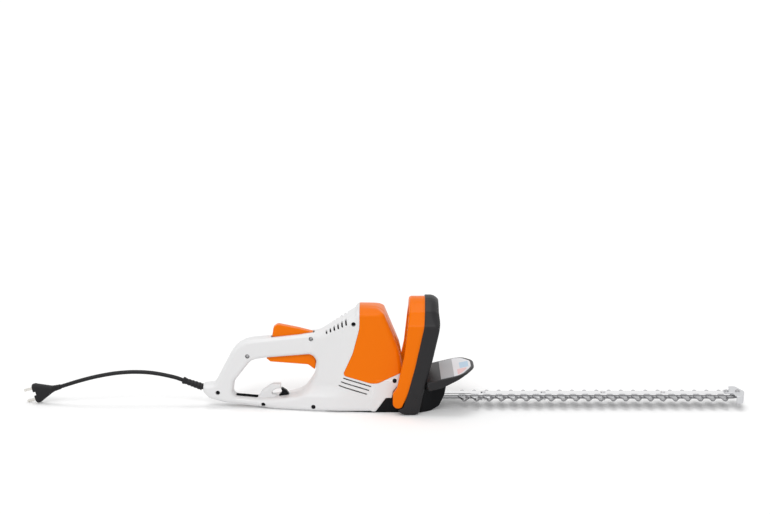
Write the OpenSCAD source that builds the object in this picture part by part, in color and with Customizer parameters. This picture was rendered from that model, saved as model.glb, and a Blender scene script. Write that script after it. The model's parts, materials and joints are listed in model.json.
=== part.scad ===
// Corded hedge trimmer. Millimetres, +Z up, +X towards the blade tip.
// The origin lies on the ground plane under the crank gear's axis, in the middle plane of the tool.

/* [Motor body] */
// Half width of the motor body across both shells
body_half_w = 44; // [43:0.5:48]
// Height of the motor cover's top above the ground
body_top_z = 178.5; // [176:0.5:186]
// How far the top falls from the middle to its sides
roof_crown = 8.5; // [2:0.5:10]
// Wall of the white shells and of the motor cover
shell_wall = 2.5; // [2:0.1:3]
// Radius on the outer edges of the body
body_round = 9; // [6:0.5:11]
// Gap along the seam between the cover and the white shells
seam_gap = 0.3; // [0.2:0.1:0.6]

/* [Rear handle] */
// Half width of the grip
grip_half_w = 17.5; // [16.5:0.5:19]
// Radius on the grip's outer edges
grip_round = 7; // [4:0.5:9]
// Height of the grip's top corner at the rear bend
grip_top_z = 116; // [114:0.5:120]
// Half width of the rocker lever's paddles
rocker_half_w = 8; // [6:0.5:9]
// Height of the rocker's pivot
rocker_pivot_z = 107; // [106:0.5:108]
// Rocker travel in degrees
rocker_travel = 4; // [2:0.5:4.5]

/* [Front loop handle] */
// Gap between the body's sides and the loop handle's legs
loop_gap = 2; // [1.5:0.25:4]
// Height of the loop's crown
loop_top_z = 193; // [186:1:200]
// Depth of the loop's section, measured across the opening
loop_leg = 17; // [15:0.5:18]
// Wall of the loop around the bail's recess
loop_wall = 1.8; // [1.4:0.1:2.4]
// Gap between the bail and the recess walls
bail_gap = 0.4; // [0.3:0.1:0.7]
// Bail travel in degrees
bail_travel = 2.5; // [1:0.5:3]

/* [Motor] */
// Radius of the armature's iron
armature_r = 17.5; // [16:0.5:19]
// Height of the armature and stator iron
stack_len = 40; // [34:1:44]
// Height at which the iron starts
stack_z = 68; // [66:0.5:70]
// Outer radius of the stator
stator_r = 33; // [31.5:0.5:33.5]
// Air gap between armature and stator
air_gap = 0.6; // [0.4:0.1:1]
// Radius of the motor shaft
motor_shaft_r = 4; // [3.5:0.5:5]
// Radius of the cooling fan
fan_r = 24; // [20:0.5:25]

/* [Gear train] */
// Teeth on the crank gear
gear_teeth = 57; // [50:1:58]
// Teeth on the motor pinion
pinion_teeth = 11; // [10:1:13]
// Gear module
gear_mod = 1.25; // [1.2:0.05:1.25]
// Height at which the crank gear starts
gear_z = 32; // [31:0.5:33]
// Face width of the crank gear
gear_w = 7; // [5:0.5:7.5]
// Throw of each eccentric, half of the blade stroke
throw_r = 5; // [4:0.5:6]
// Radius of each eccentric disc
ecc_r = 11; // [10.5:0.5:13]
// Radius of the crank shaft
crank_shaft_r = 5; // [4:0.5:5.5]
// Distance from the crank axis to the blades' tail pins
rod_len = 35; // [34:0.5:35.5]

/* [Cutter] */
// Teeth on each side of a blade
tooth_rows = 22; // [12:1:30]
// Distance from tooth to tooth
tooth_pitch = 21; // [18:1:26]
// Distance from the crank axis to the first tooth tip
first_tooth_x = 103; // [100:1:120]
// Distance from the middle line to the tooth tips
tooth_reach = 30.5; // [24:0.5:36]
// Half width of a blade's spine
spine_half_w = 11; // [10:0.5:13]
// Thickness of each blade
blade_t = 2.6; // [2:0.1:2.8]
// Height of the lower blade's underside
blade_z = 15.6; // [15.4:0.1:15.8]
// Running gap between the blades, and between blade and bar
blade_gap = 0.1; // [0.06:0.01:0.14]
// Half width of the support bar
bar_half_w = 9; // [7.5:0.5:10]
// Thickness of the support bar
bar_t = 3.4; // [3:0.1:4]
// Distance between the blade screws
screw_pitch = 102; // [90:1:110]

/* [Cord] */
// Diameter of the rubber cord
cord_d = 6.8; // [6:0.1:8]
// Diameter of the plug's pins
pin_d = 4.8; // [4:0.1:5]
// Length of the plug's pins
pin_len = 19; // [17:0.5:20]
// Distance between the plug's pins
pin_space = 19; // [17:0.5:20]

/* [Fits] */
// Radial running clearance of shafts and pins
run_gap = 0.05; // [0.02:0.01:0.1]
// Clearance between parts that slide past or plug into each other
slip_gap = 0.3; // [0.2:0.1:0.5]
// Radius of a shell screw's shank
screw_r = 2; // [1.5:0.1:2.4]
// Radius of a shell screw's head
screw_head_r = 3.4; // [3:0.1:4]

/* [Hidden] */
$fn = 48;
// Facets on small round parts
fine = 32;

// Colours
white = "#e9e9ec";
orange = "#f07a00";
charcoal = "#3a3b3e";
black = "#1d1e20";
steel = "#b9bcc0";
dark_steel = "#77797d";
copper = "#b06a35";
brass = "#c9a94e";
film_blue = "#2f4f8f";
wire_brown = "#b03a2e";
wire_blue = "#2a5ca8";

// Motor axis, from the gears' pitch circles
motor_x = -gear_mod * (gear_teeth + pinion_teeth) / 2;
gear_pitch_r = gear_mod * gear_teeth / 2;
pinion_pitch_r = gear_mod * pinion_teeth / 2;

// Heights of the blade stack
blade_z2 = blade_z + blade_t + blade_gap;
bar_z = blade_z2 + blade_t + blade_gap;
bar_top = bar_z + bar_t;
rod_t = 3.8;
rod_z1 = blade_z - 0.6 - rod_t;
rod_z2 = bar_z + 0.6;
plate_z = gear_z + gear_w + 3;
plate_t = 6;
last_tooth_x = first_tooth_x + (tooth_rows - 1) * tooth_pitch;
tip_x = last_tooth_x + 38;
bar_start_x = 60;
first_screw_x = first_tooth_x + 34;
screw_count = floor((last_tooth_x - first_screw_x - 20) / screw_pitch) + 1;

// Half width of the loop handle
loop_half_w = body_half_w + loop_gap + loop_leg;

// Sole and gearbox
sole_t = 2.6;
sole_x = -128;
nose_x = 74;
nose_half_w = 30;
nose_top_z = plate_z + plate_t;
bush_r = 8;
cavity_r = gear_pitch_r + gear_mod + 1.2;
inner_half_w = body_half_w - shell_wall;
tub_half_w = inner_half_w - slip_gap;
floor_t = 3;

// Pivots
rocker_x = -196;
rocker_pin_r = 3;
bail_x = -7.5;
bail_z = 24;
bail_pin_r = 4;

// Motor heights
winding_h = 6;
fan_z = plate_z + plate_t + 3;
fan_h = 10;
commutator_z = stack_z + stack_len + winding_h + 1;
commutator_h = 12;
upper_bearing_z = commutator_z + commutator_h + 4;
upper_bearing_h = 6;
upper_journal_r = motor_shaft_r - 1;
pole_r = armature_r + air_gap;
yoke_r = stator_r - 7;
pillar_r = 3.5;
pillar_off = stator_r - pillar_r - 0.2;

// ---------- outline helpers ----------
function unit(v) = v / norm(v);
function turn(a) = a > 180 ? a - 360 : a < -180 ? a + 360 : a;
// Arc that rounds corner q, between its neighbours p and s; q is [x, y, radius]
function corner(p, q, s, n) =
    q[2] == 0 ? [[q[0], q[1]]] :
    let (a = [q[0], q[1]], u = unit([p[0], p[1]] - a), v = unit([s[0], s[1]] - a),
         half = acos(u * v) / 2, c = a + unit(u + v) * q[2] / sin(half),
         t = q[2] / tan(half), b = a + u * t, e = a + v * t,
         a0 = atan2(b[1] - c[1], b[0] - c[0]), d = turn(atan2(e[1] - c[1], e[0] - c[0]) - a0))
    [for (k = [0 : n]) c + q[2] * [cos(a0 + d * k / n), sin(a0 + d * k / n)]];
// Closed outline from corners [x, y, radius], counter-clockwise
function rounded(c, n = 5) =
    [for (i = [0 : len(c) - 1]) each corner(c[(i + len(c) - 1) % len(c)], c[i], c[(i + 1) % len(c)], n)];
function left(v) = [-v[1], v[0]];
// The same outline moved inwards by d
function inset(p, d) = let (n = len(p))
    [for (i = [0 : n - 1])
        let (a = left(unit(p[i] - p[(i + n - 1) % n])), b = left(unit(p[(i + 1) % n] - p[i])))
        p[i] + d * (a + b) / (1 + a * b)];
// Corners moved inwards by d, with the radii of outer corners shrunk and of inner corners grown
function inset_corners(c, d) = let (n = len(c), p = inset([for (q = c) [q[0], q[1]]], d))
    [for (i = [0 : n - 1]) let (a = c[(i + n - 1) % n], b = c[i], e = c[(i + 1) % n],
        s = sign((b[0] - a[0]) * (e[1] - b[1]) - (b[1] - a[1]) * (e[0] - b[0])))
        [p[i][0], p[i][1], b[2] == 0 ? 0 : max(b[2] - s * d, 0.5)]];
function outline(c, d = 0, n = 4) = rounded(inset_corners(c, d), n);

// Solid between y0 and y1 over an outline in the XZ plane
module side_slab(p, y0, y1) {
    translate([0, y1, 0]) rotate([90, 0, 0]) linear_extrude(y1 - y0) polygon(p);
}
// Solid between x0 and x1 over an outline in the YZ plane
module front_slab(p, x0, x1) {
    translate([x0, 0, 0]) rotate([90, 0, 90]) linear_extrude(x1 - x0) polygon(p);
}
// Solid across Y over rounded corners in the XZ plane, each level [y, inset]
module side_loft(c, levels) {
    n = len(outline(c));
    m = len(levels);
    rings = [for (l = levels) each [for (q = outline(c, l[1])) [q[0], l[0], q[1]]]];
    sides = [for (j = [0 : m - 2]) each [for (i = [0 : n - 1])
        [j * n + i, j * n + (i + 1) % n, (j + 1) * n + (i + 1) % n, (j + 1) * n + i]]];
    polyhedron(rings, concat([[for (i = [n - 1 : -1 : 0]) i]], sides,
        [[for (i = [0 : n - 1]) (m - 1) * n + i]]), convexity = 6);
}
// Levels that round both edges of a solid of half width w; sign -1 rounds a hole's edges
function edge_levels(w, r, over = 0, sign = 1, n = 2) = concat(
    over > 0 ? [[-w - over, sign * r]] : [],
    [for (k = [n : -1 : 0]) [-(w - r + r * sin(90 * k / n)), sign * r * (1 - cos(90 * k / n))]],
    [for (k = [0 : n]) [w - r + r * sin(90 * k / n), sign * r * (1 - cos(90 * k / n))]],
    over > 0 ? [[w + over, sign * r]] : []);

// Round bar between two points
module rod_between(a, b, r, fn = fine) {
    v = b - a;
    translate(a) rotate([0, acos(v[2] / norm(v)), atan2(v[1], v[0])]) cylinder(h = norm(v), r = r, $fn = fn);
}
module y_cylinder(x, z, r, y0, y1, fn = fine) {
    translate([x, y1, z]) rotate([90, 0, 0]) cylinder(h = y1 - y0, r = r, $fn = fn);
}
module z_cylinder(x, y, r, z0, z1, fn = fine) {
    translate([x, y, z0]) cylinder(h = z1 - z0, r = r, $fn = fn);
}
module box(lo, hi) {
    translate(lo) cube(hi - lo);
}
module both_sides() {
    children();
    mirror([0, 1, 0]) children();
}
// Tube of radius r swept along points, s sides
module sweep(p, r, s = 8) {
    n = len(p);
    dirs = [for (i = [0 : n - 1]) unit(p[min(i + 1, n - 1)] - p[max(i - 1, 0)])];
    rings = [for (i = [0 : n - 1]) let (d = dirs[i], e = abs(d[2]) > 0.98 ? [0, 1, 0] : [0, 0, 1],
        u = unit(cross(e, d)), v = cross(d, u))
        each [for (k = [0 : s - 1]) p[i] + r * (u * cos(360 * k / s) + v * sin(360 * k / s))]];
    sides = [for (j = [0 : n - 2]) each [for (i = [0 : s - 1])
        [j * s + i, (j + 1) * s + i, (j + 1) * s + (i + 1) % s, j * s + (i + 1) % s]]];
    ends = [[for (i = [0 : s - 1]) i], [for (i = [s - 1 : -1 : 0]) (n - 1) * s + i]];
    polyhedron(rings, concat(sides, ends));
}

// ---------- outlines of the white and orange body ----------
front_z = 77;
body_corners = [
    [-338, 28, 3], [-328, 17, 14], [-300, 9.5, 40], [-215, 0, 60], [-46, 0, 3], [-6, 48, 4], [0, 58, 8],
    [-0.5, front_z, 20], [-5.5, 106, 60], [-31.5, body_top_z - 10.5, 9], [-42, body_top_z - 3, 25],
    [-73.5, body_top_z, 3],
    [-80, 165, 12], [-139, grip_top_z + 15, 40], [-279, grip_top_z, 48], [-319, 41, 7], [-338, 39.5, 3]];
opening_corners = [
    [-289, 20.5, 9], [-245, 16.5, 60], [-200, 20, 60], [-170, 26, 26], [-148, 58, 30], [-144.5, 94.5, 13],
    [-232, 87.5, 18], [-256, 83.5, 20], [-285.5, 46, 18]];
// Region of the orange cover on the side of the body
cover_corners = [
    [20, 200, 0], [-72.5, 200, 0], [-72.5, 145, 60], [-84, 102, 40], [-101, 64.5, 5], [-47, 48.5, 30],
    [20, 80, 0]];

// Plan outlines: lower limb and sole, then grip and motor body
limb_plan = [[-345, -grip_half_w, 0], [-262, -grip_half_w, 60], [-150, -body_half_w + 6, 60],
    [-110, -body_half_w, 60], [10, -body_half_w, 0], [10, body_half_w, 0], [-110, body_half_w, 60],
    [-150, body_half_w - 6, 60], [-262, grip_half_w, 60], [-345, grip_half_w, 0]];
motor_plan = [[-172, -grip_half_w + 4, 0], [-158, -grip_half_w, 20], [-98, -body_half_w, 40],
    [10, -body_half_w, 0], [10, body_half_w, 0], [-98, body_half_w, 40], [-158, grip_half_w, 20],
    [-172, grip_half_w - 4, 0]];
limb_top_z = 34;

module prism(p, z0, z1) {
    translate([0, 0, z0]) linear_extrude(z1 - z0) polygon(p);
}
// Room under the crowned top, which is a wide arc across the body
module under_roof(d = 0) {
    half = body_half_w - 6;
    r = (half * half + roof_crown * roof_crown) / (2 * roof_crown);
    box([-400, -60, -10], [40, 60, body_top_z - 38]);
    translate([-400, 0, body_top_z - r]) rotate([0, 90, 0]) cylinder(h = 440, r = r - d, $fn = 120);
}
// Solid form of the whole body, grown inwards by d
module body_form(d = 0) {
    outer = inset_corners(body_corners, d);
    difference() {
        intersection() {
            union() {
                side_loft(outer, edge_levels(grip_half_w - d, grip_round - d));
                intersection() {
                    side_loft(outer, edge_levels(body_half_w - d, body_round - d));
                    union() {
                        prism(outline(limb_plan, d), -1, limb_top_z);
                        prism(outline(motor_plan, d), limb_top_z - 1, body_top_z + 1);
                    }
                }
            }
            under_roof(d);
        }
        side_loft(inset_corners(opening_corners, -d),
            edge_levels(grip_half_w, grip_round, over = 40, sign = -1));
    }
}
// Region of the cover, grown on its seam side
module seam_prism(grow) {
    side_slab(outline(cover_corners, -grow), -body_half_w - 2, body_half_w + 2);
}

// Skirts that reach down over the gearbox's flanks to the bail's hubs
skirt_corners = [[-47.6, 0, 0], [-28.3, 26, 4], [-18.3, 26, 1.5], [-16.5, 37, 6], [-7, 49, 3],
    [-7, 56, 0], [-45, 56, 0], [-58, 6, 0]];
module skirt(grow, y0, y1) {
    side_slab(outline(skirt_corners, -grow), y0, y1);
}

// Places of the shell screws [x, z]
grip_screws = [[-262, 90.7], [-154.5, 121], [-312.8, 27.5], [-235.8, 8]];
body_screws = [[-82.4, 151.8], [-150.4, 8.5]];
post_screws = [[-13.9, 55.5]];
boss_r = screw_r + 2.8;
post_head_y = body_half_w - 1.5;

// Rocker lever outline, each point [distance from the pivot along X, height, radius]
rocker_shape = [
    [-35, 85.5, 1], [-28, 79.5, 4], [36, 74.5, 8], [47.5, 65.5, 1.5], [49.5, 78, 3], [47.5, 91, 6],
    [36, 97.5, 4], [12, 99, 1], [12, 102.5, 1], [30, 102.5, 1], [30, 105.5, 1], [12, 105.5, 1],
    [12, 123.5, 4], [36, 128, 2], [44.5, 130.2, 0], [20, 136.5, 20], [-15, 143.6, 6], [-22, 139, 4],
    [-24.5, 123, 1], [-14, 119, 4], [-12, 96, 6], [-26, 91, 4]];
rocker_line = rounded([for (q = rocker_shape) [rocker_x + q[0], q[1], q[2]]], 3);
slot_half_w = rocker_half_w + 0.8;

module rocker_slots() {
    box([rocker_x - 26.2, -slot_half_w, 108], [rocker_x + 47, slot_half_w, 135]);
    box([rocker_x - 38, -slot_half_w, 74], [rocker_x + 54, slot_half_w, 98.5]);
    box([rocker_x + 46, -slot_half_w, 60], [rocker_x + 54, slot_half_w, 80]);
}
module vent_slots() {
    for (i = [0 : 5]) {
        hull() {
            y_cylinder(-127.7 + 6.65 * i, 133.3 + 3.45 * i, 1.5, -60, 60, 16);
            y_cylinder(-128.3 + 6.55 * i, 137.8 + 4 * i, 1.5, -60, 60, 16);
        }
    }
    for (i = [0 : 2]) {
        hull() {
            y_cylinder(-99 - 3.8 * i, 59.5 - 6.6 * i, 1.1, -60, 60, 16);
            y_cylinder(-54 - 3.5 * i, 45.5 - 6.6 * i, 1.1, -60, 60, 16);
        }
    }
}
// Hook that a loop of the extension cord is laid around
module cord_hook() {
    side_slab(rounded([[-249, 12, 0], [-212, 12, 0], [-214, 21, 3], [-222, 22, 2], [-221.5, 28, 4],
        [-214, 32, 4], [-207, 32, 0], [-206.5, 40, 2], [-221, 40, 12], [-238, 29, 12]]), -7, 7);
}
// Slot through the lower limb that the extension cord is pushed up through
module cord_slot() {
    box([-283, -5.5, -5], [-246, 5.5, 30]);
}
boot_angle = 20;
boot_x = -338;
boot_z = 32.5;
boot_len = 38;
boot_r = 6.3;
rib_cut = 0.6;
neck_r = 3.9;

module shell_body() {
    difference() {
        union() {
            difference() {
                body_form();
                body_form(shell_wall);
            }
            intersection() {
                body_form(shell_wall / 2);
                union() {
                    for (s = concat(grip_screws, body_screws))
                        y_cylinder(s[0], s[1], boss_r, -body_half_w, body_half_w);
                    // Bosses beside the rocker that hold its pin
                    both_sides() y_cylinder(rocker_x, rocker_pivot_z, rocker_pin_r + 2.5,
                        rocker_half_w + 4, grip_half_w);
                    // Walls around the cord slot
                    box([-286, -8.5, -5], [-243, 8.5, 30]);
                    // Saddle under the rear switch, seat of the capacitor and of the cord clamp
                    box([switch_x0 - 1.5, -grip_half_w, switch_z0 - 5], [switch_x0, grip_half_w, switch_z1]);
                    box([switch_x1, -grip_half_w, switch_z0 + 2], [switch_x1 + 1.5, grip_half_w, switch_z1]);
                    box([cap_x0, -body_half_w, cap_z0 - 3], [cap_x1, body_half_w, cap_z0]);
                    into_boot() for (z = [clamp_x - 2.2, clamp_x + clamp_w + 0.1])
                        translate([-12, -grip_half_w, z]) cube([24, 2 * grip_half_w, 2.1]);
                }
            }
            cord_hook();
            both_sides() skirt(0, tub_half_w - 1, body_half_w - 0.6);
        }
        seam_prism(seam_gap);
        rocker_slots();
        vent_slots();
        cord_slot();
        y_cylinder(rocker_x, rocker_pivot_z, rocker_pin_r + 0.02, -16, 16);
        box([switch_x0 - 2, -slot_half_w, 99], [switch_x1, slot_half_w, switch_z1]);
        // Room for the sole and for the gearbox
        box([sole_x - slip_gap, -body_half_w - 1, -1], [20, body_half_w + 1, sole_t + 0.2]);
        box([-66, -tub_half_w - slip_gap, 0], [20, tub_half_w + slip_gap, plate_z + plate_t + 2]);
        for (s = grip_screws)
            screw_holes(s, grip_half_w);
        for (s = body_screws)
            screw_holes(s, body_half_w - 4);
        both_sides() {
            box([post_x0 - 0.4, tub_half_w - 8.4, plate_z],
                [post_x1 + 0.4, tub_half_w + slip_gap, post_top_z + 0.4]);
            for (s = post_screws) {
                y_cylinder(s[0], s[1], screw_r + 0.1, tub_half_w - 1, body_half_w);
                y_cylinder(s[0], s[1], screw_head_r + 0.4, post_head_y, body_half_w + 10);
            }
        }
        // Round hole for the cord boot's neck
        into_boot() translate([0, 0, -6]) cylinder(h = 26.5, r = neck_r + slip_gap, $fn = fine);
    }
}
// The screw goes in from the right shell and ends in the left one
module screw_holes(s, w) {
    y_cylinder(s[0], s[1], screw_r + 0.1, -w, w - 4);
    y_cylinder(s[0], s[1], screw_head_r + 0.4, -w - 20, -w + 5);
}
half_gap = 0.05;
module shell_right() {
    color(white) difference() {
        shell_body();
        box([-400, -half_gap, -10], [40, 100, 260]);
    }
}
module shell_left() {
    color(white) difference() {
        shell_body();
        box([-400, -100, -10], [40, half_gap, 260]);
    }
}

// ---------- motor cover ----------
module motor_cover() {
    color(orange) difference() {
        union() {
            intersection() {
                difference() {
                    side_loft(body_corners, edge_levels(body_half_w, body_round));
                    intersection() {
                        side_loft(inset_corners(body_corners, shell_wall),
                            edge_levels(inner_half_w, body_round - shell_wall));
                        under_roof(shell_wall);
                    }
                }
                under_roof();
                prism(outline(motor_plan), 20, body_top_z + 1);
                seam_prism(-seam_gap / 2);
            }
            // Tapered ribs that hold the stator's yoke
            both_sides() for (z = [stack_z + 4, stack_z + stack_len - 8], x = [-7, 4])
                hull() {
                    box([motor_x + x, inner_half_w - 0.5, z - 2], [motor_x + x + 3, inner_half_w + 0.4, z + 6]);
                    box([motor_x + x, stator_r + slip_gap, z], [motor_x + x + 3, inner_half_w, z + 4]);
                }
        }
        box([-200, -60, 20], [10, 60, plate_z + plate_t + 0.5]);
    }
}

// ---------- gearbox ----------
module gear_cavity(z0, z1) {
    z_cylinder(0, 0, cavity_r, z0, z1, 72);
    box([motor_x - pinion_pitch_r - 5, -tub_half_w + 2.5, z0], [-8, tub_half_w - 2.5, z1]);
}
tub_x0 = motor_x - pinion_pitch_r - 8;
module gearbox_housing() {
    side = rounded([[sole_x, 0, 0], [48, 0, 8], [61, 8, 8], [70, 27, 10], [nose_x, 44, 3],
        [nose_x, nose_top_z, 3], [30, nose_top_z, 0], [30, plate_z, 0], [tub_x0, plate_z, 0],
        [tub_x0, sole_t, 0], [sole_x, sole_t, 0]]);
    plan = rounded([[sole_x, -32, 10], [-58, -body_half_w + 3, 10], [0, -body_half_w + 3, 0],
        [2, -body_half_w, 0], [32, -body_half_w, 12], [50, -nose_half_w, 12], [nose_x + 1, -nose_half_w, 8],
        [nose_x + 1, nose_half_w, 8], [50, nose_half_w, 12], [32, body_half_w, 12], [2, body_half_w, 0],
        [0, body_half_w - 3, 0], [-58, body_half_w - 3, 10], [sole_x, 32, 10]]);
    color(black) difference() {
        union() {
            intersection() {
                side_slab(side, -body_half_w, body_half_w);
                prism(plan, -1, plate_z + 8);
            }
            // Flanks that close the gap below the shells' skirts
            difference() {
                box([-46, -body_half_w + 0.8, sole_t], [-2, body_half_w - 0.8, plate_z]);
                skirt(seam_gap + 0.1, -body_half_w, body_half_w);
            }
            // Posts for the shells' front screws
            both_sides() box([post_x0, tub_half_w - 8, plate_z], [post_x1, tub_half_w, post_top_z]);
        }
        // Pockets for the lugs of the gear plate
        both_sides() box([27, lug_y - lug_half - slip_gap, plate_z],
            [lug_x1 + slip_gap, lug_y + lug_half + slip_gap, plate_z + 20]);
        gear_cavity(floor_t, plate_z + 0.01);
        box([-10, -26, floor_t], [bar_start_x - 4, 26, bar_top + 6]);
        // Mouth for the bar and the blades
        box([30, -spine_half_w - 1, blade_z - 1], [nose_x + 2, spine_half_w + 1, bar_z]);
        box([bar_start_x - 5, -bar_half_w - 0.1, bar_z - 0.1], [nose_x + 2, bar_half_w + 0.1, bar_top + 0.02]);
        // Bores for the bail's stub shafts and seat of the lower bush
        both_sides() y_cylinder(bail_x, bail_z, bail_pin_r + run_gap, 20, 60);
        z_cylinder(0, 0, bush_r + 0.02, floor_t - 1.5, floor_t + 1);
        for (s = post_screws)
            both_sides() y_cylinder(s[0], s[1], screw_r + 0.1, tub_half_w - 6, 60);
        for (p = sole_places)
            z_cylinder(p[0], p[1], screw_r + 0.1, 1, plate_z + 1);
        for (p = sole_places)
            z_cylinder(p[0], p[1], screw_head_r + 0.3, -1, 3.2);
        for (p = handle_places)
            both_sides() y_cylinder(p[0], p[1], screw_r + 0.1, body_half_w - 9, 60);
        for (y = [-guard_screw_y, guard_screw_y])
            z_cylinder(guard_screw_x, y, screw_r + 0.1, plate_z - 6, nose_top_z + 2);
    }
}
lug_y = 32;
lug_half = 5;
lug_x1 = 41;
post_x0 = -20;
post_x1 = -9.5;
post_top_z = 60;
sole_places = [[-56, -34], [-56, 34], [36, -lug_y], [36, lug_y]];
handle_places = [[16, 12], [22, 32]];
guard_screw_x = 68.5;
guard_screw_y = 20;

module sole_screws() {
    color(dark_steel) for (p = sole_places) {
        z_cylinder(p[0], p[1], screw_head_r, 0.6, 3.2);
        z_cylinder(p[0], p[1], screw_r, 3, plate_z + plate_t - 1);
    }
}

module gear_plate() {
    plan = rounded([[tub_x0, -tub_half_w, 8], [-2, -tub_half_w, 0], [29.5, -tub_half_w, 8],
        [29.5, tub_half_w, 8], [-2, tub_half_w, 0], [tub_x0, tub_half_w, 8]]);
    color(steel) difference() {
        union() {
            prism(plan, plate_z, plate_z + plate_t);
            // Pillars that carry the stator, and lugs for two of the sole screws
            for (m = [-1, 1])
                z_cylinder(motor_x, m * pillar_off, pillar_r, plate_z + plate_t - 1, stack_z);
            for (m = [-1, 1])
                box([28, m * lug_y - lug_half, plate_z], [lug_x1, m * lug_y + lug_half, plate_z + plate_t]);
        }
        z_cylinder(motor_x, 0, lower_bearing_r + 0.01, plate_z - 1, plate_z + plate_t + 1, 48);
        z_cylinder(0, 0, crank_bearing_r + 0.01, plate_z - 1, plate_z + plate_t + 1, 48);
        for (m = [-1, 1])
            z_cylinder(motor_x, m * pillar_off, screw_r + 0.02, stack_z - 14, stack_z + 1);
        for (p = sole_places)
            z_cylinder(p[0], p[1], screw_r + 0.02, plate_z - 1, plate_z + plate_t - 1);
        for (m = [-1, 1])
            box([post_x0 - slip_gap, m * (tub_half_w - 4) - 4 - slip_gap, plate_z - 1],
                [post_x1 + slip_gap, m * (tub_half_w - 4) + 4 + slip_gap, plate_z + plate_t + 1]);
    }
}
lower_bearing_r = 11;
crank_bearing_r = 13;

// Ball bearing drawn as one closed ring around its running shaft
module bearing(x, z0, h, outer, shaft) {
    translate([x, 0, z0]) difference() {
        cylinder(h = h, r = outer);
        translate([0, 0, -1]) cylinder(h = h + 2, r = shaft + run_gap);
        for (z = [-1, h - 0.5])
            translate([0, 0, z]) difference() {
                cylinder(h = 1.5, r = outer - 1.8);
                cylinder(h = 1.5, r = shaft + 1.8);
            }
    }
}
module motor_bearing_lower() {
    color(steel) bearing(motor_x, plate_z, plate_t, lower_bearing_r, motor_shaft_r);
}
module motor_bearing_upper() {
    color(steel) bearing(motor_x, upper_bearing_z, upper_bearing_h, 9.5, upper_journal_r);
}
module crank_bearing_upper() {
    color(steel) bearing(0, plate_z, plate_t, crank_bearing_r, crank_shaft_r);
}
module crank_bush_lower() {
    color(brass) translate([0, 0, floor_t - 1.5]) difference() {
        cylinder(h = rod_z1 - floor_t + 1, r = bush_r);
        translate([0, 0, 1.5]) cylinder(h = 20, r = crank_shaft_r + run_gap);
    }
}

// ---------- hand guard ----------
guard_tilt = 13;
guard_x = 34;
guard_z = plate_z + 13.6;
guard_len = 88;
// Front of the loop handle's legs, and the gap that the guard keeps to it
leg_front = [[33, 32, 40], [49.5, 95, 80]];
leg_gap = 0.6;
guard_half_w = loop_half_w + 3;
guard_t = 3;
guard_rim = 14.5;
rim_slope_x = 70;
module guard_plan(d) {
    offset(delta = -d) polygon(rounded([[0, -50, 4], [6, -guard_half_w, 4], [68, -guard_half_w, 28],
        [guard_len, -22, 60], [guard_len, 22, 60], [68, guard_half_w, 28], [6, guard_half_w, 4],
        [0, 50, 4]], 6));
}
module hand_guard() {
    neck = [[31, nose_top_z + 0.02], [nose_x - 0.5, nose_top_z + 0.02], [nose_x + 3, plate_z + 20],
        [31, plate_z + 10]];
    color(charcoal) difference() {
        union() {
            translate([guard_x, 0, guard_z]) rotate([0, -guard_tilt, 0]) {
                translate([0, 0, -guard_t]) linear_extrude(guard_t) guard_plan(0);
                difference() {
                    translate([0, 0, -guard_rim]) linear_extrude(guard_rim - 1) guard_plan(0);
                    translate([0, 0, -guard_rim - 1]) linear_extrude(guard_rim) guard_plan(2.6);
                    // The rim is deepest behind and shallow in front of its slope
                    intersection() {
                        translate([rim_slope_x, 0, -guard_t - 1]) rotate([0, -14, 0])
                            translate([-140, -80, -40]) cube([160, 160, 40]);
                        box([-20, -80, -60], [guard_len + 20, 80, -guard_t - 1]);
                    }
                }
            }
            // Neck that stands on the gearbox nose
            intersection() {
                side_slab(neck, -nose_half_w + 0.5, nose_half_w - 0.5);
                translate([guard_x, -80, guard_z - guard_t / 2]) rotate([0, -guard_tilt, 0])
                    translate([-40, 0, -60]) cube([160, 160, 60]);
            }
        }
        for (y = [-guard_screw_y, guard_screw_y]) {
            z_cylinder(guard_screw_x, y, screw_r + 0.1, plate_z + 4, plate_z + 60);
            z_cylinder(guard_screw_x, y, screw_head_r + 0.4, plate_z + 14.5, plate_z + 60);
        }
        // Clearance around the loop handle's legs and above the gearbox
        both_sides() side_slab([[20, 30], [leg_front[0][0] + leg_gap, 30],
            [leg_front[0][0] + leg_gap, leg_front[0][1]],
            [leg_front[1][0] + leg_gap, leg_front[1][1]], [20, leg_front[1][1]]],
            loop_half_w - loop_leg - 1.5, 90);
        box([20, -body_half_w - 1, 30], [60, body_half_w + 1, nose_top_z + 0.02]);
    }
}
module guard_screws() {
    color(dark_steel) for (y = [-guard_screw_y, guard_screw_y]) {
        z_cylinder(guard_screw_x, y, screw_head_r, plate_z + 14.5, plate_z + 16.6);
        z_cylinder(guard_screw_x, y, screw_r, plate_z - 4, plate_z + 14.5);
    }
}

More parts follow.
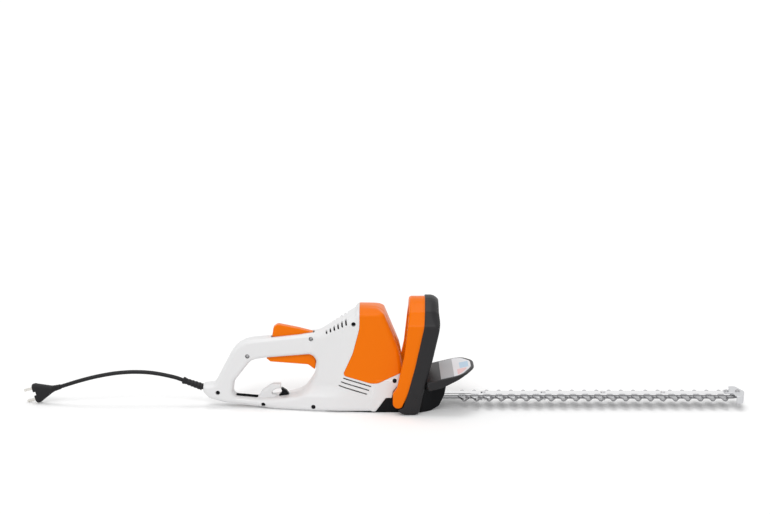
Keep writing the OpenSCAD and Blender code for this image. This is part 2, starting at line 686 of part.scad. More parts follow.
// ---------- front loop handle and bail ----------
crown_half_w = loop_half_w - 15;
loop_corners = [
    [-loop_half_w, -20, 0], [loop_half_w, -20, 0], [loop_half_w, loop_top_z - 41, 12],
    [crown_half_w, loop_top_z - 18.4, 12], [0, loop_top_z + 9, 60],
    [-crown_half_w, loop_top_z - 18.4, 12], [-loop_half_w, loop_top_z - 41, 12]];
bail_depth = 6;
recess_depth = bail_depth + (loop_top_z - bail_z) * sin(bail_travel) + 0.8;
module ring_band(outer, inner, x0, x1) {
    difference() {
        front_slab(outline(loop_corners, outer), x0, x1);
        front_slab(outline(loop_corners, inner), x0 - 1, x1 + 1);
        box([x0 - 1, -loop_half_w + inner, -30], [x1 + 1, loop_half_w - inner, 60]);
    }
}
module loop_handle() {
    side = rounded([[4, 0, 5], [26, 0, 10], leg_front[0], leg_front[1], [62.5, 152, 150],
        [62, loop_top_z, 15], [37, loop_top_z, 1], [35.2, 151, 100], [20, 82, 60], [9, 41, 15],
        [0.5, 14, 6], [-10, 8.5, 2]]);
    recess = rounded([[-30, 10, 0], [1 + recess_depth, 8, 6], [9 + recess_depth, 38, 12],
        [20 + recess_depth, 80, 60], [35.2 + recess_depth, 151, 100], [37 + recess_depth, 192, 0],
        [37 + recess_depth, 260, 0], [-30, 260, 0]]);
    color(charcoal) difference() {
        union() {
            intersection() {
                ring_band(0, loop_leg, -20, 80);
                side_slab(side, -loop_half_w, loop_half_w);
            }
            // Pads that seat the legs on the gearbox's flanks
            both_sides() side_slab(rounded([[9, 5, 3], [21, 5, 3], [30, 38, 3], [14, 38, 3]]),
                body_half_w, loop_half_w - loop_leg + 1);
        }
        intersection() {
            ring_band(loop_wall, loop_leg - loop_wall, -40, 80);
            side_slab(recess, -loop_half_w, loop_half_w);
        }
        both_sides() for (p = handle_places) {
            y_cylinder(p[0], p[1], screw_r + 0.1, body_half_w - 9, loop_half_w + 1);
            y_cylinder(p[0], p[1], screw_head_r + 0.3, handle_head_y, loop_half_w + 1);
        }
    }
}
handle_head_y = loop_half_w - loop_leg + 1.5;
module handle_screws() {
    color(dark_steel) both_sides() for (p = handle_places) {
        y_cylinder(p[0], p[1], screw_head_r, handle_head_y, handle_head_y + 2);
        y_cylinder(p[0], p[1], screw_r, body_half_w - 8, handle_head_y + 0.5);
    }
}
// Caps that close the recesses of the handle screws, nearly flush with the legs
module screw_caps() {
    color(charcoal) both_sides() for (p = handle_places)
        y_cylinder(p[0], p[1], screw_head_r + 0.25, handle_head_y + 2, loop_half_w - 0.3);
}
bail_out = loop_wall + bail_gap;
bail_in = loop_leg - loop_wall - bail_gap;
bail_drop = 51 * sin(bail_travel) + 0.1;
module bail() {
    side = rounded([[-17, 8.5, 9], [-2, 13, 7], [11, 41, 12], [20 + bail_depth, 82, 60],
        [35.2 + bail_depth, 151, 100], [37 + bail_depth, 192, 0], [37 + bail_depth, 260, 0], [12, 260, 0],
        [9.5, 165, 60], [2.5, 102, 60], [-10, 46, 8], [-17, 36, 5]]);
    channel = rounded([[-8, 41, 3], [16, 44, 10], [60, 82, 0], [60, 260, 0], [16, 260, 0],
        [13, 165, 60], [6, 102, 60], [-6.3, 47, 8]]);
    color(orange) difference() {
        intersection() {
            ring_band(bail_out, bail_in, -40, 60);
            side_slab(side, -loop_half_w, loop_half_w);
        }
        // Underside of the crown, eased because it sinks as the bail swings forward
        intersection() {
            ring_band(bail_in - bail_drop, loop_leg, -40, 80);
            box([27, -loop_half_w, loop_top_z - 52], [80, loop_half_w, loop_top_z]);
        }
        // Channel that opens towards the loop handle
        intersection() {
            ring_band(bail_out + bail_wall, bail_in - bail_drop - bail_wall, -40, 80);
            side_slab(channel, -loop_half_w, loop_half_w);
        }
        both_sides() y_cylinder(bail_x, bail_z, bail_pin_r, body_half_w - 4, bail_hub_y);
    }
}
bail_wall = 2.4;
bail_hub_y = loop_half_w - bail_out - 3;
bail_key_y = body_half_w - 8;
// Stub shafts that turn with the bail; the right one carries the switch cam
module bail_shafts() {
    color(steel) {
        y_cylinder(bail_x, bail_z, bail_pin_r, bail_key_y - 4, bail_hub_y);
        y_cylinder(bail_x, bail_z, bail_pin_r, -bail_hub_y, -bail_key_y + 5);
        box([front_sw_x - 3, -bail_key_y, bail_z - 3], [bail_x, -bail_key_y + 4, bail_z + 2]);
    }
}
module bail_spring() {
    color(steel) both_sides() for (k = [0 : 2])
        translate([bail_x, body_half_w + 0.75 + 0.5 * k, bail_z]) rotate([90, 0, 0])
            rotate_extrude($fn = 24) translate([bail_pin_r + 0.7, 0]) circle(r = 0.25, $fn = 13);
}

// ---------- rear handle parts ----------
switch_x0 = rocker_x + 14;
switch_x1 = rocker_x + 33;
switch_z0 = 109;
switch_z1 = 121;
plunger_x = rocker_x + 25;
plunger_r = 1.8;
module rear_switch() {
    color(black) difference() {
        box([switch_x0 + 0.2, -rocker_half_w, switch_z0], [switch_x1 - 0.2, rocker_half_w, switch_z1 - 0.2]);
        z_cylinder(plunger_x, 0, plunger_r + run_gap, switch_z0 - 1, switch_z0 + 6);
    }
}
module rear_plunger() {
    color(orange) z_cylinder(plunger_x, 0, plunger_r, switch_z0 - 3.2, switch_z0 + 3);
}
module rocker_lever() {
    color(orange) difference() {
        side_slab(rocker_line, -rocker_half_w, rocker_half_w);
        y_cylinder(rocker_x, rocker_pivot_z, rocker_pin_r + run_gap, -30, 30);
    }
}
module rocker_pin() {
    color(steel) y_cylinder(rocker_x, rocker_pivot_z, rocker_pin_r, -grip_half_w + 1.6, grip_half_w - 1.6);
}
module rocker_spring() {
    color(steel) for (k = [0 : 2])
        translate([rocker_x, rocker_half_w + 1 + 1.1 * k, rocker_pivot_z]) rotate([90, 0, 0])
            rotate_extrude($fn = 24) translate([rocker_pin_r + 0.7, 0]) circle(r = 0.5, $fn = 13);
}
front_sw_x = -36;
module front_switch() {
    color(black) difference() {
        box([front_sw_x - 5, -tub_half_w + 2.6, bail_z + 5.4],
            [front_sw_x + 5, -bail_key_y + 6, plate_z - 0.1]);
        z_cylinder(front_sw_x, -bail_key_y + 2, 1.5 + run_gap, bail_z + 4, bail_z + 10);
    }
}
module front_plunger() {
    color(orange) z_cylinder(front_sw_x, -bail_key_y + 2, 1.5, bail_z + 2.1, bail_z + 7.5);
}
cap_x0 = -118;
cap_x1 = -90;
cap_z0 = 90;
module capacitor() {
    color(film_blue) box([cap_x0 + 1, -7, cap_z0], [cap_x1 - 1, 7, cap_z0 + 22]);
}
clamp_x = 10;
clamp_w = 8;
// Frame whose Z runs from the boot into the handle
module into_boot() {
    translate([boot_x, 0, boot_z]) rotate([0, 90 + boot_angle, 0]) children();
}
module cord_clamp() {
    color(black) into_boot() difference() {
        translate([-5.2, -9, clamp_x]) cube([10.4, 18, clamp_w]);
        cylinder(h = 40, r = neck_r + 0.02, $fn = fine);
    }
}
module cord_clip() {
    color(black) side_slab(rounded([[-211, 19.3, 0], [-200, 20.3, 0], [-193, 21.6, 0], [-197, 28, 6],
        [-205.6, 33, 1], [-206.6, 31.6, 0], [-204.5, 26, 5]], 4), -5, 5);
}
module wiring() {
    color(wire_brown) sweep([[-303, 11, 45], [-296, 12, 62], [-284, 12, 84], [-268, 12, 100], [-250, 11.5, 105],
        [-225, 10.6, 111], [-205, 10.4, 113.8], [-195, 10.4, 114.4], [-185.2, 10.2, 115]], 1.3);
    color(wire_blue) sweep([[-160.8, 11, 113], [-148, 9, 112], [-132, 6, 110], [-119, 3, 104]], 1.3);
    color(wire_blue) sweep([[-89.2, 3, 104], [-82, 2, 112], [-76, 1, 120], [motor_x - 26, 0, 122]], 1.3);
}

// ---------- cord and plug ----------
boot_dir = [-cos(boot_angle), 0, sin(boot_angle)];
boot_at = [boot_x, 0, boot_z];
boot_end = boot_at + boot_len * boot_dir;
module cord_boot() {
    color(black) translate(boot_at) rotate([0, -90 + boot_angle, 0]) {
        rotate_extrude($fn = 36) polygon(concat([[0, -20], [neck_r, -20], [neck_r, 2.5], [boot_r, 2.5]],
            [for (i = [0 : 4]) each [[boot_r - 0.2 * i, 4 + 6 * i], [boot_r - rib_cut - 0.2 * i, 4.6 + 6 * i],
                [boot_r - rib_cut - 0.2 * i, 6.4 + 6 * i], [boot_r - 0.2 * (i + 1), 7 + 6 * i]]],
            [[5.2, boot_len - 5], [6, boot_len - 4.5], [6, boot_len], [0, boot_len]]));
    }
}
// The cord's course from the boot to the plug
cord_points = [
    boot_end + 0.1 * boot_dir, [-386, 0, 49.8], [-398, 0, 52.8], [-411, 0, 55.6], [-424, 0, 57.7],
    [-437, 0, 59], [-450, 0, 59.5], [-463, 0, 59.4], [-477, 0, 58.5], [-490, 0, 57.1], [-502, 0, 55.2],
    [-515, 0, 52.7],
    [-528, 0, 49.8], [-541, 0.1, 46.4], [-555, 0.9, 42.2], [-569, 3, 37.4], [-583, 6.6, 32.2]];
module cord() {
    color(black) sweep(cord_points, cord_d / 2, 10);
}
plug_tilt = 17.5;
plug_yaw = 16;
plug_dir = [-cos(plug_tilt) * cos(plug_yaw), cos(plug_tilt) * sin(plug_yaw), -sin(plug_tilt)];
plug_at = cord_points[len(cord_points) - 1] + 0.3 * plug_dir;
plug_half_w = 17;
plug_half_t = 7.5;
plug_neck = 16;
plug_len = 51;
module plug_frame() {
    translate(plug_at) rotate([0, 0, -plug_yaw]) rotate([0, -plug_tilt, 0]) mirror([1, 0, 0]) children();
}
module plug() {
    color(black) plug_frame() difference() {
        union() {
            rotate([0, 90, 0]) cylinder(h = plug_neck + 2, r1 = 4.2, r2 = 5.6, $fn = 24);
            hull() {
                translate([plug_neck, 0, 0]) rotate([0, 90, 0]) cylinder(h = 1, r = 5.6, $fn = 24);
                for (m = [-1, 1])
                    translate([plug_len - 8, 0, m * (plug_half_w - plug_half_t)]) rotate([0, 90, 0])
                        cylinder(h = 1, r = plug_half_t - 1, $fn = 24);
            }
            hull() for (m = [-1, 1])
                translate([plug_len - 7.5, 0, m * (plug_half_w - plug_half_t)]) rotate([0, 90, 0])
                    cylinder(h = 7.5, r = plug_half_t, $fn = 24);
        }
        translate([plug_len - 5, -20, -3.2]) cube([12, 20 + 3, 6.4]);
    }
}
module plug_pins() {
    color(steel) plug_frame() for (m = [-1, 1]) {
        translate([plug_len + 0.02, 0, m * pin_space / 2]) rotate([0, 90, 0])
            cylinder(h = pin_len, r = pin_d / 2, $fn = fine);
    }
}

// ---------- motor ----------
module motor_shaft() {
    color(steel) {
        z_cylinder(motor_x, 0, motor_shaft_r, gear_z - 1, upper_bearing_z - 1);
        z_cylinder(motor_x, 0, upper_journal_r, upper_bearing_z - 1, upper_bearing_z + upper_bearing_h + 0.5);
    }
}
module tube(x, z0, z1, outer, inner) {
    difference() {
        z_cylinder(x, 0, outer, z0, z1, 48);
        z_cylinder(x, 0, inner, z0 - 1, z1 + 1, 48);
    }
}
module armature() {
    slots = 12;
    color(dark_steel) difference() {
        tube(motor_x, stack_z, stack_z + stack_len, armature_r, motor_shaft_r);
        for (i = [0 : slots - 1])
            translate([motor_x, 0, stack_z - 1]) rotate([0, 0, 360 * i / slots])
                translate([armature_r - 4, -0.8, 0]) cube([6, 1.6, stack_len + 2]);
    }
    color(copper) for (z = [stack_z - winding_h, stack_z + stack_len])
        tube(motor_x, z, z + winding_h, armature_r - 1.5, motor_shaft_r);
}
module commutator() {
    bars = 24;
    color(copper) difference() {
        tube(motor_x, commutator_z, commutator_z + commutator_h, 11, motor_shaft_r);
        for (i = [0 : bars - 1])
            translate([motor_x, 0, commutator_z + 2]) rotate([0, 0, 360 * i / bars])
                translate([10.3, -0.2, 0]) cube([2, 0.4, commutator_h]);
    }
}
module fan() {
    vanes = 11;
    color(black) difference() {
        union() {
            z_cylinder(motor_x, 0, fan_r, fan_z, fan_z + 1.5, 48);
            z_cylinder(motor_x, 0, 8, fan_z, fan_z + fan_h, 32);
            for (i = [0 : vanes - 1])
                translate([motor_x, 0, fan_z + 1]) rotate([0, 0, 360 * i / vanes])
                    translate([7, -0.8, 0]) rotate([0, 0, 12]) cube([fan_r - 8.5, 1.6, fan_h - 1]);
        }
        z_cylinder(motor_x, 0, motor_shaft_r, fan_z - 1, fan_z + fan_h + 1);
    }
}
function around(a) = [cos(a), sin(a)];
// Straight-sided teeth that mesh at the pitch circle with a little backlash
module toothed(n, h, bore, phase) {
    pitch = gear_mod * n / 2;
    root = pitch - 1.2 * gear_mod;
    tip = pitch + 0.9 * gear_mod;
    half = 90 / n;
    difference() {
        linear_extrude(h) polygon([for (i = [0 : n - 1]) let (a = 360 * i / n + phase)
            each [root * around(a - half * 1.5), pitch * around(a - half * 0.88), tip * around(a - half * 0.4),
                tip * around(a + half * 0.4), pitch * around(a + half * 0.88), root * around(a + half * 1.5)]]);
        translate([0, 0, -1]) cylinder(h = h + 2, r = bore, $fn = fine);
    }
}
module pinion() {
    color(steel) translate([motor_x, 0, gear_z]) toothed(pinion_teeth, gear_w + 1.5, motor_shaft_r, 0);
}
module crank_gear() {
    // A tooth space of the gear faces the pinion's first tooth
    phase = 180 - 180 / gear_teeth;
    color(dark_steel) difference() {
        translate([0, 0, gear_z]) toothed(gear_teeth, gear_w, crank_shaft_r, phase);
        for (i = [0 : 5])
            rotate([0, 0, 60 * i])
                z_cylinder(gear_pitch_r * 0.62, 0, gear_pitch_r * 0.16, gear_z - 1, gear_z + gear_w + 1);
    }
}
module crank_shaft() {
    color(steel) {
        z_cylinder(0, 0, crank_shaft_r, floor_t + 0.3, plate_z + plate_t);
        z_cylinder(0, throw_r, ecc_r, rod_z2, rod_z2 + rod_t, 48);
        z_cylinder(0, -throw_r, ecc_r, rod_z1, rod_z1 + rod_t, 48);
    }
}
// Connecting rod from its eccentric to the blade's tail pin, flat between z and z + rod_t.
// The far eye is opened by twice the throw, so that crank and blade can move on their own.
tail_pin_r = 3;
eye_r = tail_pin_r + 2 * throw_r + 0.5;
module connecting_rod(y, z) {
    rod = rod_t - 0.2;
    translate([0, 0, z + 0.1]) difference() {
        union() {
            translate([0, y, 0]) cylinder(h = rod, r = ecc_r + 3.5);
            translate([rod_len, y, 0]) cylinder(h = rod, r = eye_r + 2.5);
            translate([0, y - 7, 0]) cube([rod_len, 14, rod]);
        }
        translate([0, y, -1]) cylinder(h = rod + 2, r = ecc_r + run_gap);
        translate([rod_len, y, -1]) cylinder(h = rod + 2, r = eye_r);
    }
}
module rod_upper() {
    color(steel) connecting_rod(throw_r, rod_z2);
}
module rod_lower() {
    color(steel) connecting_rod(-throw_r, rod_z1);
}
module tail_pin_upper() {
    color(steel) z_cylinder(rod_len, 0, tail_pin_r, blade_z2, rod_z2 + rod_t);
}
module tail_pin_lower() {
    color(steel) z_cylinder(rod_len, 0, tail_pin_r, rod_z1, blade_z + blade_t);
}
module stator_stack() {
    color(dark_steel) translate([motor_x, 0, stack_z]) difference() {
        union() {
            difference() {
                cylinder(h = stack_len, r = stator_r);
                translate([0, 0, -1]) cylinder(h = stack_len + 2, r = yoke_r);
            }
            for (a = [30, 210])
                rotate([0, 0, a]) rotate_extrude(angle = 120, $fn = 48)
                    translate([pole_r, 0]) square([yoke_r - pole_r + 0.5, stack_len]);
        }
        for (m = [-1, 1])
            z_cylinder(0, m * pillar_off, screw_r + 0.02, -1, stack_len + 1);
    }
}
module field_coils() {
    z0 = stack_z - winding_h;
    h = stack_len + 2 * winding_h;
    color(copper) both_sides() translate([motor_x, 0, z0]) difference() {
        rotate([0, 0, 8]) rotate_extrude(angle = 164, $fn = 48)
            translate([pole_r + 0.8, 0]) square([yoke_r - pole_r - 1.3, h]);
        translate([0, 0, winding_h - 0.1]) rotate([0, 0, 28]) rotate_extrude(angle = 124, $fn = 48)
            translate([pole_r - 1, 0]) square([12, stack_len + 0.2]);
    }
}
module motor_bracket() {
    z0 = upper_bearing_z - 1;
    z1 = upper_bearing_z + upper_bearing_h;
    color(steel) difference() {
        union() {
            z_cylinder(motor_x, 0, 13, z0, z1, 48);
            box([motor_x - 6, -pillar_off, z0], [motor_x + 6, pillar_off, z0 + 4]);
            for (m = [-1, 1])
                z_cylinder(motor_x, m * pillar_off, pillar_r, stack_z + stack_len, z0 + 4);
            // Arms that carry the brush holders
            box([motor_x - 24, -6.5, z0], [motor_x + 22, 6.5, z0 + 3]);
        }
        z_cylinder(motor_x, 0, 9.5 + 0.01, upper_bearing_z, z1 + 1, 48);
        z_cylinder(motor_x, 0, 7, z0 - 1, z1 + 1, 48);
        for (m = [-1, 1])
            z_cylinder(motor_x, m * pillar_off, screw_r + 0.02, stack_z, z1 + 1);
    }
}
module stator_screws() {
    color(dark_steel) for (m = [-1, 1]) {
        z_cylinder(motor_x, m * pillar_off, screw_r, stack_z - 12, upper_bearing_z + 3);
        z_cylinder(motor_x, m * pillar_off, screw_head_r, upper_bearing_z + 3, upper_bearing_z + 5.4);
    }
}
brush_z = commutator_z + 2.5;
module brush_holders() {
    color(brass) for (m = [-1, 1])
        translate([motor_x, 0, 0]) scale([m, 1, 1]) difference() {
            box([12.5, -5, brush_z - 1.5], [22, 5, upper_bearing_z - 1]);
            box([12, -3.2, brush_z], [20.8, 3.2, brush_z + 8]);
        }
}
module carbon_brushes() {
    color(charcoal) for (m = [-1, 1])
        translate([motor_x, 0, 0]) scale([m, 1, 1])
            box([11.15, -3.1, brush_z + 0.1], [20.6, 3.1, brush_z + 7.9]);
}

// ---------- cutter ----------
tip_half = 2.6;
// Outer side of a tooth row; lean +1 leans the rear edge, -1 the front edge
function tooth(x, lean) = lean > 0 ?
    [[x - 9.5, spine_half_w], [x - tip_half - 0.8, tooth_reach - 1.6], [x - 0.6, tooth_reach],
     [x + tip_half - 0.6, tooth_reach - 0.8], [x + tip_half + 1.2, tooth_reach - 5], [x + 3.4, spine_half_w]] :
    [[x - 3.4, spine_half_w], [x - tip_half - 1.2, tooth_reach - 5], [x - tip_half + 0.6, tooth_reach - 0.8],
     [x + 0.6, tooth_reach], [x + tip_half + 0.8, tooth_reach - 1.6], [x + 9.5, spine_half_w]];
module blade(lean) {
    teeth = [for (k = [0 : tooth_rows - 1]) each tooth(first_tooth_x + k * tooth_pitch, lean)];
    top = concat([[rod_len - 8, 7], [first_tooth_x - 40, 7], [first_tooth_x - 36, spine_half_w]], teeth,
        [[last_tooth_x + 16, spine_half_w], [last_tooth_x + 24, 6]]);
    bottom = [for (i = [len(top) - 1 : -1 : 0]) [top[i][0], -top[i][1]]];
    difference() {
        linear_extrude(blade_t) polygon(concat(bottom, [for (i = [0 : len(top) - 1]) top[i]]));
        translate([rod_len, 0, -1]) cylinder(h = blade_t + 2, r = tail_pin_r, $fn = fine);
        for (k = [0 : screw_count - 1])
            translate([first_screw_x + k * screw_pitch, 0, -1])
                slot(throw_r + 0.6, collar_r + 0.15, blade_t + 2);
    }
}
module slot(half, r, h) {
    for (m = [-1, 1]) translate([m * half, 0, 0]) cylinder(h = h, r = r, $fn = fine);
    translate([-half, -r, 0]) cube([2 * half, 2 * r, h]);
}
collar_r = 3.6;
module blade_upper() {
    color(steel) translate([0, 0, blade_z2]) blade(1);
}
module blade_lower() {
    color(dark_steel) translate([0, 0, blade_z]) blade(-1);
}
module support_bar() {
    color(steel) difference() {
        union() {
            box([bar_start_x, -bar_half_w, bar_z], [tip_x - 12, bar_half_w, bar_top]);
            z_cylinder(tip_x - 12, 0, bar_half_w, bar_z, bar_top);
        }
        for (k = [0 : screw_count - 1])
            z_cylinder(first_screw_x + k * screw_pitch, 0, screw_r + 0.5, bar_z - 1, bar_top + 1);
        for (x = tip_screw_x)
            z_cylinder(x, 0, screw_r + 0.02, bar_z - 1, bar_top + 1);
    }
}
// Shouldered screws: the collar guides the blades, the thread clamps into the nut
module blade_screws() {
    color(steel) for (k = [0 : screw_count - 1]) {
        x = first_screw_x + k * screw_pitch;
        z_cylinder(x, 0, 4.2, bar_top, bar_top + 1.2);
        z_cylinder(x, 0, screw_r + 0.3, bar_z, bar_top);
        z_cylinder(x, 0, collar_r, blade_z - 0.1, bar_z);
        z_cylinder(x, 0, screw_r + 0.3, blade_z - 5.5, blade_z);
    }
}
module blade_nuts() {
    color(steel) for (k = [0 : screw_count - 1])
        translate([first_screw_x + k * screw_pitch, 0, 0]) difference() {
            union() {
                translate([0, 0, blade_z - 1.1]) cylinder(h = 1, r = 6.6, $fn = fine);
                translate([0, 0, blade_z - 5]) cylinder(h = 4, r = 4.6, $fn = 6);
            }
            translate([0, 0, blade_z - 6]) cylinder(h = 8, r = screw_r + 0.32, $fn = fine);
        }
}
tip_screw_x = [tip_x - 31, tip_x - 12];
cap_t = 1.4;
module tip_guard() {
    wing = tooth_reach + 3.5;
    neck = bar_half_w + 1.5;
    top = rounded([[tip_x - 35, -neck, 1], [tip_x - 23, -neck, 1], [tip_x - 21, -wing, 4],
        [tip_x - 9.5, -wing, 5], [tip_x, 0, 20], [tip_x - 9.5, wing, 5],
        [tip_x - 21, wing, 4], [tip_x - 23, neck, 1], [tip_x - 35, neck, 1]]);
    color(steel) difference() {
        union() {
            prism(top, bar_top, bar_top + cap_t);
            // Skirts that hang beside the blade tips, and the nose that joins them
            intersection() {
                difference() {
                    prism(top, blade_z - 2.5, bar_top + 0.5);
                    prism(inset(top, cap_t), blade_z - 4, bar_top + 1);
                }
                box([tip_x - 20, -wing - 5, 0], [tip_x + 10, wing + 5, 60]);
            }
        }
        for (x = tip_screw_x)
            z_cylinder(x, 0, screw_r + 0.1, bar_z - 1, bar_top + 5);
    }
}
module tip_screws() {
    color(dark_steel) for (x = tip_screw_x) {
        z_cylinder(x, 0, 4, bar_top + cap_t, bar_top + cap_t + 2.2);
        z_cylinder(x, 0, screw_r, bar_z + 0.2, bar_top + cap_t + 0.5);
    }
}
module shell_screw(s, w) {
    difference() {
        union() {
            y_cylinder(s[0], s[1], screw_head_r, -w + 2.6, -w + 5);
            y_cylinder(s[0], s[1], screw_r, -w + 4.8, w - 5);
        }
        y_cylinder(s[0], s[1], 1.2, -w, -w + 4.2, 16);
    }
}
module shell_screws() {
    color(dark_steel) {
        for (s = grip_screws)
            shell_screw(s, grip_half_w);
        for (s = body_screws)
            shell_screw(s, body_half_w - 4);
        for (s = post_screws)
            both_sides() difference() {
                union() {
                    y_cylinder(s[0], s[1], screw_head_r, post_head_y, post_head_y + 1.8);
                    y_cylinder(s[0], s[1], screw_r, tub_half_w - 6, post_head_y + 0.5);
                }
                y_cylinder(s[0], s[1], 1.2, post_head_y + 0.8, post_head_y + 4, 16);
            }
    }
}

shell_right();
shell_left();
motor_cover();
gearbox_housing();
gear_plate();
hand_guard();
loop_handle();
cord_clip();
cord_boot();
cord_clamp();
support_bar();
tip_guard();
tip_screws();
blade_screws();
blade_nuts();
shell_screws();
sole_screws();
handle_screws();
screw_caps();
guard_screws();
stator_stack();
field_coils();
motor_bracket();
stator_screws();
brush_holders();
carbon_brushes();
motor_bearing_lower();
motor_bearing_upper();
crank_bearing_upper();
crank_bush_lower();
rear_switch();
front_switch();
capacitor();
wiring();
rocker_pin();
rocker_spring();
bail_spring();
motor_shaft();
armature();
commutator();
fan();
pinion();
crank_gear();
crank_shaft();
rod_upper();
rod_lower();
blade_upper();
blade_lower();
tail_pin_upper();
tail_pin_lower();
rocker_lever();
bail();
bail_shafts();
rear_plunger();
front_plunger();
cord();
plug();
plug_pins();
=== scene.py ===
"""Looks of the corded hedge trimmer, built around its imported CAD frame.

Lengths are in millimetres until a mesh is made. +X is the blade tip, +Y the far side and +Z up.
The outlines repeat those of the part's source. Soft forms are made as distance fields, where each
point of a grid holds its distance from the surface, and crisp cuts are booleans.
"""

import json
import math

import bpy
import numpy as np
import openvdb
from mathutils import Matrix


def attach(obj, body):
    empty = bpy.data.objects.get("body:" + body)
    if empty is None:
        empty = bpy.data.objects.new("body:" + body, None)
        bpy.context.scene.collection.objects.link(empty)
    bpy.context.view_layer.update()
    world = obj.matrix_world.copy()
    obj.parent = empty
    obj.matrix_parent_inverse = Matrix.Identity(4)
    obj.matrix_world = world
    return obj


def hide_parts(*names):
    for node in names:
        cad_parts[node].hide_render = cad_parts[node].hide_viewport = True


MM = 0.001
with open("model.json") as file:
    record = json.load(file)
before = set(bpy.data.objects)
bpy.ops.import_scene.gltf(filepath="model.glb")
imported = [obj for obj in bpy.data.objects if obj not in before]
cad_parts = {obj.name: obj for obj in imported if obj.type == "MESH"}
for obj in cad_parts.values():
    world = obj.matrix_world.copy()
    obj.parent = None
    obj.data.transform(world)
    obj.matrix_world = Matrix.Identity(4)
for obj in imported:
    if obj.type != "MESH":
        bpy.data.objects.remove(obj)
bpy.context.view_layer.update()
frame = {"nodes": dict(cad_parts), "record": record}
COARSE = 1.0

# ---------- camera ----------
camera = bpy.data.objects.new("camera", bpy.data.cameras.new("camera"))
bpy.context.scene.collection.objects.link(camera)
camera.location = (-0.030, -2.600, 0.721)
camera.rotation_euler = (math.radians(79.9), 0, 0)
camera.data.lens = 73.64
camera.data.clip_end = 200
bpy.context.scene.camera = camera

# ---------- sizes, as in the part's source ----------
BODY_HALF_W = 44
BODY_TOP_Z = 178.5
ROOF_CROWN = 8.5
WALL = 2.5
BODY_ROUND = 9
GRIP_HALF_W = 17.5
GRIP_ROUND = 7
ROCKER_HALF_W = 8
ROCKER_X = -196
ROCKER_PIVOT_Z = 107
PLATE_Z = 42
LOOP_LEG = 17
LOOP_HALF_W = BODY_HALF_W + 2 + LOOP_LEG
LOOP_TOP_Z = 193
LOOP_WALL = 1.8
BAIL_GAP = 0.4
BAIL_X, BAIL_Z = -7.5, 24
BAIL_TRAVEL = math.radians(2.5)
SCREW_R = 2
SCREW_HEAD_R = 3.4
BLADE_Z = 15.6
BLADE_T = 2.6
BLADE_Z2 = 18.3
BAR_Z = 21
BAR_TOP = 24.4
BAR_HALF_W = 9
SPINE_HALF_W = 11
TOOTH_ROWS = 22
TOOTH_PITCH = 21
FIRST_TOOTH_X = 103
TOOTH_REACH = 30.5
LAST_TOOTH_X = FIRST_TOOTH_X + (TOOTH_ROWS - 1) * TOOTH_PITCH
BLADE_SCREW_XS = tuple(137 + 102 * k for k in range(4))
TIP_X = LAST_TOOTH_X + 38
TIP_SCREW_XS = (TIP_X - 31, TIP_X - 12)
ROD_LEN = 35
BAIL_BORE_R = 4.05
RIM_SLOPE = math.radians(14)
CORD_D = 6.8

BODY_CORNERS = [
    (-338, 28, 3), (-328, 17, 14), (-300, 9.5, 40), (-215, 0, 60), (-46, 0, 3), (-6, 48, 4), (0, 58, 8),
    (-0.5, 77, 20), (-5.5, 106, 60), (-31.5, BODY_TOP_Z - 10.5, 9), (-42, BODY_TOP_Z - 3, 25),
    (-73.5, BODY_TOP_Z, 3), (-80, 165, 12), (-139, 131, 40), (-279, 116, 48), (-319, 41, 7), (-338, 39.5, 3)]
OPENING_CORNERS = [
    (-289, 20.5, 9), (-245, 16.5, 60), (-200, 20, 60), (-170, 26, 26), (-148, 58, 30), (-144.5, 94.5, 13),
    (-232, 87.5, 18), (-256, 83.5, 20), (-285.5, 46, 18)]
COVER_CORNERS = [
    (20, 200, 0), (-72.5, 200, 0), (-72.5, 145, 60), (-84, 102, 40), (-101, 64.5, 5), (-47, 48.5, 30),
    (20, 80, 0)]
LIMB_HALF = [(-345, GRIP_HALF_W - 4, 0), (-262, GRIP_HALF_W, 60), (-150, BODY_HALF_W - 6, 60),
             (-110, BODY_HALF_W, 60), (10, BODY_HALF_W, 0)]
MOTOR_HALF = [(-172, GRIP_HALF_W - 4, 0), (-158, GRIP_HALF_W, 20), (-98, BODY_HALF_W, 40),
              (10, BODY_HALF_W, 0)]
HOOK_CORNERS = [(-249, 12, 0), (-212, 12, 0), (-214, 21, 3), (-222, 22, 2), (-221.5, 28, 4),
                (-214, 32, 4), (-207, 32, 0), (-206.5, 40, 2), (-221, 40, 12), (-238, 29, 12)]
SKIRT_CORNERS = [(-47.6, 0, 0), (-28.3, 26, 4), (-18.3, 26, 1.5), (-16.5, 37, 6), (-7, 49, 3),
                 (-7, 56, 0), (-45, 56, 0), (-58, 6, 0)]
GRIP_SCREWS = [(-262, 90.7), (-154.5, 121), (-312.8, 27.5), (-235.8, 8)]
BODY_SCREWS = [(-82.4, 151.8), (-150.4, 8.5)]
POST_SCREW = (-13.9, 55.5)
POST_HEAD_Y = BODY_HALF_W - 1.5
HANDLE_SCREWS = [(16, 12), (22, 32)]
HANDLE_HEAD_Y = LOOP_HALF_W - LOOP_LEG + 1.5
SOLE_SCREWS = [(-56, -34), (-56, 34), (36, -32), (36, 32)]
GUARD_SCREWS = [(68.5, -20), (68.5, 20)]


# ---------- outlines ----------
def unit(v):
    return v / np.linalg.norm(v)


def corner_arc(p, q, s, radius, n):
    """Points of the arc that rounds corner q between its neighbours p and s."""
    if radius == 0:
        return [q]
    u, v = unit(p - q), unit(s - q)
    half = math.acos(float(np.clip(u @ v, -1, 1))) / 2
    centre = q + unit(u + v) * radius / math.sin(half)
    start, end = q + u * radius / math.tan(half) - centre, q + v * radius / math.tan(half) - centre
    first = math.atan2(start[1], start[0])
    sweep = (math.atan2(end[1], end[0]) - first + math.pi) % math.tau - math.pi
    return [centre + radius * np.array([math.cos(first + sweep * k / n), math.sin(first + sweep * k / n)])
            for k in range(n + 1)]


